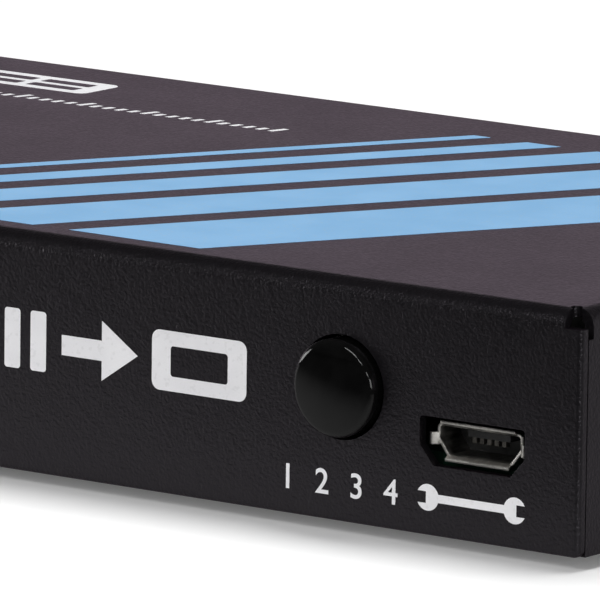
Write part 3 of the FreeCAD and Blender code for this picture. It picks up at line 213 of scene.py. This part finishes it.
# %% Powder coat
def powder_coat():
    coat = new_finish("powder_coat")
    grain = coat.noise(0.22, detail=1.5)
    waves = coat.noise(0.9, detail=1.0)
    patches = coat.noise(9.0, detail=2.0)
    tone = (0.6 * grain + 0.3 * waves + 0.1 * patches).clipped(0.3, 0.7)
    leather = 0.75 * grain + 0.25 * waves
    return coat.surface(
        Base_Color=coat.blend(tone, (0.0036, 0.0034, 0.0038, 1), (0.0056, 0.0053, 0.0060, 1)),
        Roughness=0.29 + 0.06 * grain.clipped(0.3, 0.7) + 0.02 * patches.clipped(0.3, 0.7),
        Specular_IOR_Level=0.42,
        Specular_Tint=(0.96, 0.94, 1.0, 1),
        Coat_Weight=1.0,
        Coat_IOR=1.01,
        Coat_Roughness=0.5,
        Coat_Tint=(1.0, 0.955, 0.993, 1),
        Normal=coat.bump(leather, depth=0.065, base=coat.soft_edge(0.05)),
    )


keep({"case_coat": powder_coat()})

# %% [markdown]
# ## Glossy and matt plastics
#
# The button is moulded in a polished mould, so it mirrors the floor and the lamps, and only a faint
# uneven shine says that fingers have pressed it. The socket blocks come out of a spark-eroded mould
# with a fine even grain. Both are the same black resin, so one function makes either. The button's
# face is a very slight dome. In a mirror that slight, the mesh's own facets would show, so the finish
# works out the exact direction of the dome at each point instead.

# %% The button's dome
BUTTON_CROWN = 0.3
BUTTON_FACE = 3.17
button_low, button_high = (Vector(corner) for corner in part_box("button_cap"))
button_middle = (button_low + button_high) / 2
button_rim = (button_high.x - button_low.x) / 2


def button_dome(plastic):
    """Normals of the button's face, which is part of a large ball that bulges to the front."""
    crown = BUTTON_CROWN * MM
    ball = (button_rim * button_rim + crown * crown) / (2 * crown)
    ball_centre = (button_middle.x, button_low.y + ball, button_middle.z)
    from_centre = plastic.place().vectors("SUBTRACT", ball_centre)
    off_axis = from_centre.stretched(1, 0, 1).length()
    elsewhere = plastic.node("ShaderNodeNewGeometry", output="Normal")
    beside_face = off_axis > BUTTON_FACE * MM
    return plastic.blend_ways(beside_face, from_centre.vectors("NORMALIZE"), elsewhere)


print("button:", round(2 * button_rim / MM, 2), "mm across")


# %% Moulded plastics
def grey(level):
    return (level, level, level, 1)


def moulded(name, dark, light, roughness, grain_size, grain_depth, smudge=0.1, shape=None, **more):
    plastic = new_finish(name)
    grain = plastic.noise(grain_size, detail=2.0)
    smear = plastic.noise(2.4, detail=4.0).clipped(0.35, 0.75)
    return plastic.surface(
        Base_Color=plastic.blend(grain.clipped(0.3, 0.7), dark, light),
        Roughness=roughness + smudge * smear,
        Normal=plastic.bump(grain, grain_depth, 0.6, shape(plastic) if shape else None),
        **more,
    )


PLASTICS = {
    "gloss_black": dict(dark=grey(0.0022), light=grey(0.0035), roughness=0.05, grain_size=1.2,
                        grain_depth=0.004, smudge=0.05, shape=button_dome, Specular_IOR_Level=0.28),
    "black_plastic": dict(dark=grey(0.009), light=grey(0.016), roughness=0.42, grain_size=0.16,
                          grain_depth=0.02),
    "rubber": dict(dark=grey(0.012), light=grey(0.024), roughness=0.72, grain_size=0.3,
                   grain_depth=0.03),
    "film": dict(dark=grey(0.018), light=grey(0.03), roughness=0.3, grain_size=0.9, grain_depth=0.01),
    "chip": dict(dark=(0.017, 0.017, 0.018, 1), light=(0.03, 0.03, 0.031, 1), roughness=0.5,
                 grain_size=0.12, grain_depth=0.012),
    "thermal_pad": dict(dark=(0.3, 0.36, 0.46, 1), light=(0.42, 0.47, 0.56, 1), roughness=0.75,
                        grain_size=0.35, grain_depth=0.05),
    "ferrite": dict(dark=grey(0.035), light=grey(0.075), roughness=0.62, grain_size=0.2,
                    grain_depth=0.04),
}
keep({name: moulded(name, **look) for name, look in PLASTICS.items()})

# %% [markdown]
# ## Bare and plated metals
#
# The socket shells are stamped from nickel-plated strip. Stamping draws the grain of the strip along
# the shell, and the plating is a little uneven, so the reflection is streaked and softly cloudy rather
# than mirror clear. The streaks are a noise that is squeezed across the grain. Gold on the contacts,
# aluminium on the capacitors and black oxide on the screws differ in colour, roughness and grain only.
# The service port's lips are rolled outward and rubbed bright by plugs, and a few tenths behind them
# the plating is painted dark as shade of the port's hollow, so its colour depends on how deep behind
# the mouth a point lies.

# %% A metal, and the service port's mouth
def metal(name, dull, bright, roughness, streak=(1, 1, 1), metallic=1.0, roll=0.06, wear_and_painted_shade=None):
    plate = new_finish(name)
    where = plate.place().stretched(*streak)
    streaks = plate.noise(0.25, detail=3.0, where=where)
    clouds = plate.noise(1.1, detail=3.0)
    shade = (0.55 * streaks + 0.45 * clouds).clipped(0.32, 0.66)
    return plate.surface(
        Base_Color=plate.blend(wear_and_painted_shade(plate, shade) if wear_and_painted_shade else shade, dull, bright),
        Metallic=metallic,
        Roughness=roughness + 0.18 * clouds.clipped(0.35, 0.7),
        Normal=plate.bump(streaks, 0.012, 0.5, plate.soft_edge(roll)),
    )


LIP_REACH = 0.4
port_low, port_high = (Vector(corner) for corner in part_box("service_port_shell"))


def rubbed_lips_and_painted_shade(plate, shade):
    """Bright on the lips of the service port, painted dark as shade from a little way behind them."""
    depth = plate.place().along(0, 1, 0)
    inside = depth.clipped(port_low.y + LIP_REACH * MM, port_low.y + 3 * LIP_REACH * MM)
    return (0.8 + 0.2 * shade) * (1.0 - inside) + 0.25 * shade * inside


print("service port:", round((port_high.x - port_low.x) / MM, 2), "mm wide")

# %% Metals
LENGTHWISE = (1, 0.12, 1)
METALS = {
    "nickel": dict(dull=(0.33, 0.32, 0.30, 1), bright=(0.60, 0.585, 0.55, 1), roughness=0.24,
                   streak=LENGTHWISE),
    "gold": dict(dull=(0.56, 0.37, 0.12, 1), bright=(0.83, 0.60, 0.25, 1), roughness=0.2,
                 streak=LENGTHWISE),
    # The service port's shell: bright lips, and painted shade from a little way inside.
    "port_nickel": dict(dull=(0.06, 0.057, 0.052, 1), bright=(0.72, 0.70, 0.66, 1), roughness=0.3,
                        streak=LENGTHWISE, roll=0.2, wear_and_painted_shade=rubbed_lips_and_painted_shade),
    # The service port's contacts sit deep in its hollow, so they are painted dull and dark as shade.
    "shaded_port_contacts": dict(dull=(0.07, 0.066, 0.06, 1), bright=(0.14, 0.133, 0.12, 1), roughness=0.45,
                     streak=LENGTHWISE),
    "black_screw": dict(dull=grey(0.02), bright=grey(0.055), roughness=0.34, metallic=0.6),
    "black_aluminium": dict(dull=grey(0.02), bright=grey(0.045), roughness=0.4, streak=(1, 0.05, 1)),
    "capacitor_can": dict(dull=grey(0.5), bright=grey(0.72), roughness=0.25, streak=(1, 1, 0.1)),
}
keep({name: metal(name, **look) for name, look in METALS.items()})

# %% [markdown]
# ## Circuit board
#
# A circuit board is woven glass in resin with copper tracks under a thin green lacquer. Two things
# read from a step away: the nearly black green where there is no copper, and the tracks, which run
# straight and turn at right angles. The joints of a brick pattern give such straight runs without
# drawing one, and patches of noise stand for the broad copper fields.

# %% Board and its lacquer
TRACK_WIDTH = 0.22
TRACK_RUN = 7.4
TRACK_PITCH = 1.3


def circuit_board():
    board = new_finish("board")
    settings = {"offset": 0.37, "squash": 1.6, "squash_frequency": 3}
    sockets = {"Vector": board.place(), "Scale": 1.0, "Mortar Size": TRACK_WIDTH * MM,
               "Brick Width": TRACK_RUN * MM, "Row Height": TRACK_PITCH * MM}
    tracks = board.node("ShaderNodeTexBrick", settings, sockets, output="Fac")
    weave = board.noise(0.6, detail=1.0, where=board.place().stretched(1, 0.3, 1))
    fields = board.noise(9.0, detail=0.0) > 0.56
    copper = (tracks + fields).clipped(0, 1)
    green = board.blend(copper, (0.0014, 0.008, 0.0045, 1), (0.003, 0.016, 0.009, 1))
    return board.surface(
        Base_Color=board.blend(0.3 * weave, green, (0.006, 0.020, 0.011, 1)),
        Roughness=0.28 + 0.14 * weave,
        Normal=board.bump(copper + 0.2 * weave, 0.03, 0.6),
    )


keep({"board": circuit_board()})

# %% [markdown]
# ## Lights and the infra-red window
#
# The indicator lights are cast in coloured clear resin: deep and saturated, brighter where the light
# gathers near the tip. The infra-red window is so dark a red that it looks black until light strikes
# it. Real refraction would cost render time for pieces of a few millimetres, so a clear coat over a
# deep colour with slow swirls inside does the job.

# %% Clear resins
def resin(name, deep, bright, glow):
    cast = new_finish(name)
    swirl = cast.noise(1.3, detail=2.0)
    return cast.surface(
        Base_Color=cast.blend(swirl.clipped(0.35, 0.65), deep, bright),
        Roughness=0.12 + 0.1 * swirl,
        Coat_Weight=0.8,
        Coat_Roughness=0.05,
        Emission_Color=cast.blend(swirl, deep, bright),
        Emission_Strength=glow,
        Normal=cast.bump(swirl, 0.01, 0.4),
    )


# The lights' small Emission is a painted glow for light gathered in the clear resin; the window has
# none.
RESINS = {
    "red_light": dict(deep=(0.32, 0.012, 0.01, 1), bright=(0.62, 0.04, 0.03, 1), glow=0.12),
    "green_light": dict(deep=(0.03, 0.26, 0.05, 1), bright=(0.1, 0.5, 0.12, 1), glow=0.1),
    "dark_window": dict(deep=(0.012, 0.001, 0.003, 1), bright=(0.04, 0.003, 0.007, 1), glow=0.0),
}
keep({name: resin(name, **look) for name, look in RESINS.items()})

# %% [markdown]
# ## Each node gets its finish
#
# The frame names a material for every node, and the finishes above go by the same names. Only the
# service port departs from it: its shell and its contacts have finishes of their own, into which the
# shade of the port's hollow is painted.

# %% Give every node its finish
PORT_FINISHES = {"service_port_shell": "port_nickel", "service_port_contacts": "shaded_port_contacts"}
for name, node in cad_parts.items():
    for material_slot in node.material_slots:
        material_slot.material = finishes[PORT_FINISHES.get(name, material_slot.material.name)]
print("nodes with a finish:", len(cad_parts))

# %% [markdown]
# ## Printing
#
# The box is screen printed: a stencil lets a thick even layer of ink through, about two hundredths of
# a millimetre high, with crisp edges. Painting the signs into the coat's material would blur them at
# this size, so each sign is a real thin layer. Outlines are drawn flat as closed curves, where a curve
# inside another makes a hole, and the curve is then filled, thickened and kept as a mesh.

# %% Ink
def ink(name, thin, thick):
    layer = new_finish(name)
    mesh_marks = layer.cells(0.22)
    clouds = layer.noise(5.0, detail=3.0)
    pores = layer.noise(0.35, detail=1.0).clipped(0.28, 0.42)
    body = layer.blend(clouds.clipped(0.3, 0.7), thin, thick)
    return layer.surface(
        Base_Color=layer.blend(0.85 + 0.15 * pores, grey(0.5), body),
        Roughness=0.44 + 0.12 * clouds,
        Specular_IOR_Level=0.35,
        Normal=layer.bump(mesh_marks, 0.012, 0.5),
    )


white_ink = ink("white_ink", thin=(0.87, 0.865, 0.89, 1), thick=(0.95, 0.945, 0.965, 1))
blue_ink = ink("blue_ink", thin=(0.230, 0.475, 0.765, 1), thick=(0.268, 0.515, 0.805, 1))
print("inks:", white_ink.name, blue_ink.name)


# %% Flat outlines, in millimetres
def corner_arc(x, y, radius, start, steps=6):
    """A quarter turn about x, y that begins at the angle start, in degrees."""
    angles = [math.radians(start + 90 * i / steps) for i in range(steps + 1)]
    return [(x + radius * math.cos(a), y + radius * math.sin(a)) for a in angles]


def rounded_box(x, y, width, height, radius):
    """Outline of a box with round corners, from its lower left corner."""
    right, top = x + width - radius, y + height - radius
    left, bottom = x + radius, y + radius
    return (corner_arc(right, top, radius, 0) + corner_arc(left, top, radius, 90)
            + corner_arc(left, bottom, radius, 180) + corner_arc(right, bottom, radius, 270))


# %% From a flat curve to a printed layer
INK_LAYER = 0.02
SAME_POINT = 1e-8


def thick_layer(curve, origin, across, up):
    """The curve's filled mesh, laid at origin so that its x and y run across and up."""
    curve.extrude = INK_LAYER * MM
    drawn = bpy.data.objects.new(curve.name + "_drawn", curve)
    mesh = bpy.data.meshes.new_from_object(drawn)
    bpy.data.objects.remove(drawn)
    turn = Matrix((across, up, across.cross(up))).transposed().to_4x4()
    mesh.transform(Matrix.Translation(origin) @ turn)
    return mesh


def add_print(name, mesh, finish):
    """Make the layer a piece that rides on the case."""
    mesh.name = name
    mesh.materials.clear()
    mesh.materials.append(finish)
    sign = bpy.data.objects.new(name, mesh)
    bpy.context.scene.collection.objects.link(sign)
    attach(sign, "case")
    print(name, len(mesh.polygons), "faces")


def print_outlines(name, outlines, origin, across, up, finish):
    """Print closed outlines, in millimetres from origin."""
    curve = bpy.data.curves.new(name, "CURVE")
    curve.dimensions = "2D"
    curve.fill_mode = "BOTH"
    for outline in outlines:
        spline = curve.splines.new("POLY")
        spline.points.add(len(outline) - 1)
        for point, (x, y) in zip(spline.points, outline):
            point.co = (x * MM, y * MM, 0, 1)
        spline.use_cyclic_u = True
    mesh = thick_layer(curve, origin, across, up)
    weld = bmesh.new()
    weld.from_mesh(mesh)
    bmesh.ops.remove_doubles(weld, verts=weld.verts, dist=SAME_POINT)
    bmesh.ops.recalc_face_normals(weld, faces=weld.faces)
    weld.to_mesh(mesh)
    weld.free()
    add_print(name, mesh, finish)


# %% Prints on the front and on the lid
RIGHTWARD = Vector((1, 0, 0))
BACKWARD = Vector((0, 1, 0))
UPWARD = Vector((0, 0, 1))
front_corner = Vector((cover_high.x, cover_low.y, cover_low.z))
lid_corner = Vector((cover_high.x, cover_low.y, cover_high.z))


def front_sign(name, outlines):
    """Print on the front. Outlines are measured from the lower right corner, so x is negative."""
    print_outlines(name, outlines, front_corner, RIGHTWARD, UPWARD, white_ink)


def lid_sign(name, outlines, finish):
    """Print on the lid. Outlines are measured from the front right corner, so x is negative."""
    print_outlines(name, outlines, lid_corner, RIGHTWARD, BACKWARD, finish)


print("front prints are measured from", [round(v / MM, 2) for v in front_corner], "mm")
print("lid prints are measured from", [round(v / MM, 2) for v in lid_corner], "mm")

# %% [markdown]
# ### The large sign on the front
#
# It is a plain pictogram of what the box does: four sources, an arrow, one screen. It has to be bold
# to read from across a room, so its strokes are about a third as wide as the sign is high. Only the
# level strokes of the screen are thinner, a quarter of that height. The sign could be one drawing that
# is traced by hand. Here the bars, the arrow and the screen each come from a few sizes of their own, so
# that any of them is easily changed.

# %% Four sources, an arrow and a screen
SOURCES = 4
STROKE_CORNER = 0.25
SCREEN_CORNER = 0.7


def source_bars(x, y, width, gap, height):
    """One upright bar for each source."""
    pitch = width + gap
    return [rounded_box(x + i * pitch, y, width, height, STROKE_CORNER) for i in range(SOURCES)]


def arrow(x, y, length, height, shaft, head):
    """An arrow to the right whose axis is at y."""
    neck = x + length - head
    return [(x, y - shaft / 2), (neck, y - shaft / 2), (neck, y - height / 2), (x + length, y),
            (neck, y + height / 2), (neck, y + shaft / 2), (x, y + shaft / 2)]


def screen(x, y, width, height, side, rail):
    """A screen's frame: upright strokes of side, level strokes of rail."""
    inner = rounded_box(x + side, y + rail, width - 2 * side, height - 2 * rail, STROKE_CORNER)
    return [rounded_box(x, y, width, height, SCREEN_CORNER), inner[::-1]]


SIGN_LEFT = -56.5
SIGN_BOTTOM = 7.65
SIGN_HEIGHT = 4.45
ARROW_LEFT = SIGN_LEFT + 10.1
SCREEN_LEFT = SIGN_LEFT + 18.4
sign_middle = SIGN_BOTTOM + SIGN_HEIGHT / 2
front_sign("front_sign", [
    *source_bars(SIGN_LEFT, SIGN_BOTTOM, width=1.45, gap=0.95, height=SIGN_HEIGHT),
    arrow(ARROW_LEFT, sign_middle, length=7.0, height=SIGN_HEIGHT, shaft=1.5, head=3.3),
    *screen(SCREEN_LEFT, SIGN_BOTTOM, width=8.6, height=SIGN_HEIGHT, side=1.7, rail=1.1),
])

# %% [markdown]
# ### The small signs under the button and the port
#
# The button steps through the sources, so the numbers 1 to 4 stand under it. The numbers come from the
# text object that Blender has built in, made into a mesh like the other signs. Under the service port
# is a spanner, the usual sign for it.

# %% Numbers
LABEL_MIDDLE = 2.8
NUMBER_HEIGHT = 1.8
FIGURE_SHARE = 0.69
BOLDER = 0.012


def print_number(name, text, middle, across, spacing=1.0):
    """Upright numbers centred on a point. A figure takes FIGURE_SHARE of the letter size in height."""
    curve = bpy.data.curves.new(name, "FONT")
    curve.body = text
    curve.size = NUMBER_HEIGHT * MM / FIGURE_SHARE
    curve.space_character = spacing
    curve.align_x = "CENTER"
    curve.offset = BOLDER * NUMBER_HEIGHT * MM
    foot = middle - UPWARD * (NUMBER_HEIGHT / 2 * MM)
    add_print(name, thick_layer(curve, foot, across, UPWARD), white_ink)


def front_label(x):
    """The middle of a label on the front, at x metres."""
    return Vector((x, cover_low.y, cover_low.z + LABEL_MIDDLE * MM))


print_number("button_numbers", "1 2 3 4", front_label(button_middle.x), RIGHTWARD, spacing=1.4)


# %% Spanner
def spanner(x, y, length, jaw, opening, handle, steps=10, notch=0.15):
    """A double-ended spanner that lies level about x, y. The jaws open to notch of their radius."""
    radius = jaw / 2
    half_opening = math.degrees(math.asin(opening / jaw))
    half_neck = math.degrees(math.asin(handle / jaw))
    sweep = 180 - half_neck - half_opening
    outline = []
    for side, start in ((1, 0), (-1, 180)):
        middle = x + side * (length / 2 - radius)
        angles = [math.radians(start - 180 + half_neck + i * sweep / steps) for i in range(steps + 1)]
        lower = [(middle + radius * math.cos(a), y + radius * math.sin(a)) for a in angles]
        floor_x = middle + side * radius * notch
        floor_of_jaw = [(floor_x, y - side * opening / 2), (floor_x, y + side * opening / 2)]
        upper = [(px, 2 * y - py) for px, py in lower[::-1]]
        outline += lower + floor_of_jaw + upper
    return outline


port_middle = ((port_low.x + port_high.x) / 2 - cover_high.x) / MM
front_sign("service_spanner", [
    spanner(port_middle, LABEL_MIDDLE, length=9.6, jaw=1.95, opening=0.85, handle=0.6)])

# %% [markdown]
# ### The lid
#
# The lid carries a plain run of slanted bars in pale blue, each broader than the last. Behind them
# stands a line of fine ticks like the scale of a ruler, and a sign of one screen shared by four
# pictures. Bars and ticks are leaning boxes, so one helper makes either.

# %% Bars
def leaning_bar(x, width, front, rear, slope):
    """Outline of a bar that leans to the right by slope for each unit of depth."""
    corners = [(x, front), (x + width, front), (x + width, rear), (x, rear)]
    return [(px + slope * py, py) for px, py in corners]


BAR_LEFT = -82.0
BAR_WIDTHS = (1.6, 3.2, 5.4, 8.4, 12.0)
BAR_GAP = 3.4
BAR_FRONT = 3.0
BAR_REAR = 57.0
BAR_SLOPE = 0.55
bars = []
bar_x = BAR_LEFT
for bar_width in BAR_WIDTHS:
    bars.append(leaning_bar(bar_x, bar_width, BAR_FRONT, BAR_REAR, BAR_SLOPE))
    bar_x += bar_width + BAR_GAP
lid_sign("lid_bars", bars, blue_ink)

# %% Ticks
TICK_COUNT = 44
TICK_RIGHT = -64.0
TICK_PITCH = 1.25
TICK_WIDTH = 0.5
TICK_SHORT = 0.9
TICK_LONG = 1.5
LONG_EVERY = 5
TICK_SLOPE = 0.3
SCALE_FRONT = 48.3
ticks = []
for i in range(TICK_COUNT):
    length = TICK_LONG if i % LONG_EVERY == 0 else TICK_SHORT
    tick = leaning_bar(TICK_RIGHT - TICK_PITCH * i, TICK_WIDTH, 0, length, TICK_SLOPE)
    ticks.append([(x, y + SCALE_FRONT) for x, y in tick])
lid_sign("lid_scale", ticks, white_ink)

# %% Shared screen
SHARED_LEFT = -99.4
SHARED_FRONT = 52.8
FRAME_SIDE = 1.6
FRAME_RAIL = 0.9
FRAME_CORNER = 0.8
PANE_WIDTH = 4.9
PANE_DEPTH = 1.35
PANE_CORNER = 0.2
PANE_GAP_ACROSS = 0.8
PANE_GAP_ALONG = 0.6
shared_width = 2 * (FRAME_SIDE + PANE_WIDTH) + PANE_GAP_ACROSS
shared_depth = 2 * (FRAME_RAIL + PANE_DEPTH) + PANE_GAP_ALONG
shared = [rounded_box(SHARED_LEFT, SHARED_FRONT, shared_width, shared_depth, FRAME_CORNER)]
for column in (0, 1):
    for row in (0, 1):
        pane_x = SHARED_LEFT + FRAME_SIDE + column * (PANE_WIDTH + PANE_GAP_ACROSS)
        pane_y = SHARED_FRONT + FRAME_RAIL + row * (PANE_DEPTH + PANE_GAP_ALONG)
        shared.append(rounded_box(pane_x, pane_y, PANE_WIDTH, PANE_DEPTH, PANE_CORNER)[::-1])
lid_sign("lid_screen", shared, white_ink)

# %% [markdown]
# ### Rear and light numbers
#
# Each input socket behind and each light in front belongs to a source, so each gets its number. The
# rear numbers are printed the other way round, since that side is read from behind.

# %% Numbers at the lights and sockets
LEFTWARD = -RIGHTWARD
lights_low, lights_high = (Vector(corner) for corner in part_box("input_lights"))
light_width = lights_high.z - lights_low.z
light_step = (lights_high.x - lights_low.x - light_width) / (SOURCES - 1)
for i in range(SOURCES):
    light_x = lights_low.x + light_width / 2 + i * light_step
    print_number(f"light_number_{i + 1}", str(i + 1), front_label(light_x), RIGHTWARD)
    low, high = (Vector(corner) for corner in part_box(f"input_{i + 1}_shell"))
    over_socket = Vector(((low.x + high.x) / 2, cover_high.y, (high.z + cover_high.z) / 2))
    print_number(f"socket_number_{i + 1}", str(i + 1), over_socket, LEFTWARD)

# %% [markdown]
# ## Studio
#
# The photograph was taken on a white table in a dim room with a pale wall behind the table. The lid
# lies nearly level with the line of sight, so it mirrors the low part of that wall. The bend along its
# front edge and the button's upper half mirror the dim room. So the world sheds light from a low wall
# behind and little from elsewhere, and where the camera looks at the world directly it is white.

# %% World
# The last four are parts of a direction of length 1: how far behind, and how high, a ray points.
WALL_LIGHT = 0.42
ROOM_LIGHT = 0.05
WALL_FROM = -0.2
WALL_TO = 0.6
WALL_TOP_FROM = 0.22
WALL_TOP_TO = 0.5
world = Finish(bpy.data.worlds.new("studio"))
bpy.context.scene.world = world.owner
direction = world.node("ShaderNodeTexCoord", output="Generated")
behind = direction.along(0, 1, 0).clipped(WALL_FROM, WALL_TO)
over_wall = direction.along(0, 0, 1).clipped(WALL_TOP_FROM, WALL_TOP_TO)
room = world.blend(behind * (1.0 - over_wall), grey(ROOM_LIGHT), grey(WALL_LIGHT))
shed = world.node("ShaderNodeBackground", None, {"Color": room})
seen = world.node("ShaderNodeBackground", None, {"Color": grey(1.0)})
world.node("ShaderNodeOutputWorld", None, {"Surface": world.for_camera(seen, shed)})
print("world:", world.owner.name, "wall", WALL_LIGHT, "room", ROOM_LIGHT)

# %% [markdown]
# The front and the button mirror the strip of table just before the box, which is lit, so the table
# glows a little on that strip. Farther in front it sheds little light back. To the camera the table is
# white paper that keeps the box's shadow, and away from the box, where the lamps don't reach, it is
# made as white as the world.

# %% Floor
TABLE_END = -0.055
TABLE_END_BLUR = 0.05
TABLE_SLANT = 0.35
STRIP_END = -0.030
STRIP_END_BLUR = 0.004
STRIP_GLOW = 0.24
DARK_BOUNCE = 0.04
LIT_BOUNCE = 0.38
PAPER_DULL = 0.94
PAPER_BRIGHT = 0.98
PAPER_GLOW = 0.115
WHITE_FROM = 0.18
WHITE_TO = 0.5
FLOOR_HALF = 12.0


def matt_paper(table, colour, glow):
    """Paper without any gloss, which glows in a colour of its own."""
    return table.node("ShaderNodeBsdfPrincipled", None, {
        "Base Color": colour, "Roughness": 1.0, "Specular IOR Level": 0.0,
        "Emission Color": glow, "Emission Strength": 1.0})


def studio_floor():
    table = new_finish("white_table")
    place = table.place()
    sheet = place.along(-TABLE_SLANT, 1, 0).clipped(TABLE_END - TABLE_END_BLUR, TABLE_END)
    under_box = place.along(0, 1, 0).clipped(STRIP_END - STRIP_END_BLUR, STRIP_END)
    glow = table.blend(sheet * (1.0 - under_box), grey(0.0), grey(STRIP_GLOW))
    bounce = matt_paper(table, table.blend(sheet, grey(DARK_BOUNCE), grey(LIT_BOUNCE)), glow)
    away = place.length().clipped(WHITE_FROM, WHITE_TO)
    paper = table.blend(table.noise(40.0, detail=3.0), grey(PAPER_DULL), grey(PAPER_BRIGHT))
    shown = matt_paper(table, paper, table.blend(away, grey(PAPER_GLOW), grey(1.0)))
    table.node("ShaderNodeOutputMaterial", None, {"Surface": table.for_camera(shown, bounce)})
    return table.owner


floor_mesh = bpy.data.meshes.new("floor")
floor_corners = [(x * FLOOR_HALF, y * FLOOR_HALF, 0) for x, y in ((-1, -1), (1, -1), (1, 1), (-1, 1))]
floor_mesh.from_pydata(floor_corners, [], [(0, 1, 2, 3)])
floor_mesh.materials.append(studio_floor())
floor = bpy.data.objects.new("floor", floor_mesh)
bpy.context.scene.collection.objects.link(floor)
print("floor:", 2 * FLOOR_HALF, "m across")

# %% [markdown]
# The lamps are soft boxes. One stands low at the left and glances along the front. Four stand in a bow
# from the front to the right, and their mirror images make the bright arc on the button's rim. The
# large one overhead lights the lid and makes the shadow. It and a low one in front only shed light: in
# the photograph neither shows as a mirror image.

# %% Lamps
SHOWN_PART = Vector((0.03, 0, 0))


def softbox(name, azimuth, elevation, distance, width, height, power, mirrored=True):
    """A lamp that faces the box from an angle round it. Azimuth 0 is in front, 90 at the right."""
    turn, rise = math.radians(azimuth), math.radians(elevation)
    way = Vector((math.sin(turn) * math.cos(rise), -math.cos(turn) * math.cos(rise), math.sin(rise)))
    light = bpy.data.lights.new(name, "AREA")
    light.shape = "RECTANGLE"
    light.size = width
    light.size_y = height
    light.energy = power
    lamp = bpy.data.objects.new(name, light)
    lamp.location = way * distance + SHOWN_PART
    lamp.rotation_mode = "QUATERNION"
    lamp.rotation_quaternion = way.to_track_quat("Z", "Y")
    lamp.visible_camera = False
    lamp.visible_glossy = mirrored
    bpy.context.scene.collection.objects.link(lamp)
    print(name, power, "W")


softbox("key_lamp", azimuth=-64, elevation=9, distance=0.38, width=0.17, height=0.07, power=0.25)
softbox("side_lamp", azimuth=58, elevation=9, distance=0.9, width=0.35, height=0.25, power=1.4)
softbox("rear_lamp", azimuth=172, elevation=79, distance=1.1, width=0.8, height=0.5, power=9.9,
        mirrored=False)
softbox("front_lamp", azimuth=-6, elevation=40, distance=1.1, width=0.4, height=0.2, power=2.3)
softbox("upper_arc_lamp", azimuth=15, elevation=32, distance=1.1, width=0.26, height=0.09, power=0.8)
softbox("lower_arc_lamp", azimuth=38, elevation=20, distance=1.1, width=0.22, height=0.12, power=0.8)
softbox("low_lamp", azimuth=20, elevation=12, distance=1.1, width=0.4, height=0.2, power=1.3,
        mirrored=False)

# %% [markdown]
# ## Camera
#
# The photograph shows almost no perspective, so it was taken from afar with a long lens, from the
# right and a little above, and shows only the right end of the box. The angles were measured on the
# photograph's edges: lines that run along the box, across it and up meet at three far points, and
# those fix the angles and the lens.

# %% Camera
CAMERA_AZIMUTH = math.radians(36.62)
CAMERA_ELEVATION = math.radians(10.20)
CAMERA_ROLL = math.radians(0.75)
CAMERA_DISTANCE = 0.81976
CAMERA_LENS = 685.0
AIM_FROM_RIGHT = 24.79
AIM_HEIGHT = 16.75
aim = Vector((cover_high.x - AIM_FROM_RIGHT * MM, cover_low.y, AIM_HEIGHT * MM))
sight = Vector((-math.sin(CAMERA_AZIMUTH) * math.cos(CAMERA_ELEVATION),
                math.cos(CAMERA_AZIMUTH) * math.cos(CAMERA_ELEVATION), -math.sin(CAMERA_ELEVATION)))
level = Vector((math.cos(CAMERA_AZIMUTH), math.sin(CAMERA_AZIMUTH), 0))
raised = level.cross(sight)
camera_right = level * math.cos(CAMERA_ROLL) + raised * math.sin(CAMERA_ROLL)
camera_up = raised * math.cos(CAMERA_ROLL) - level * math.sin(CAMERA_ROLL)
camera_data = bpy.data.cameras.new("photo_camera")
camera_data.lens = CAMERA_LENS
camera_data.sensor_width = 36.0
camera_data.clip_end = 50.0
camera = bpy.data.objects.new("photo_camera", camera_data)
camera_turn = Matrix((camera_right, camera_up, -sight)).transposed().to_4x4()
camera.matrix_world = Matrix.Translation(aim - sight * CAMERA_DISTANCE) @ camera_turn
bpy.context.scene.collection.objects.link(camera)
bpy.context.scene.camera = camera
bpy.context.scene.view_settings.view_transform = "Standard"
print("camera at", tuple(round(v, 4) for v in camera.matrix_world.translation))
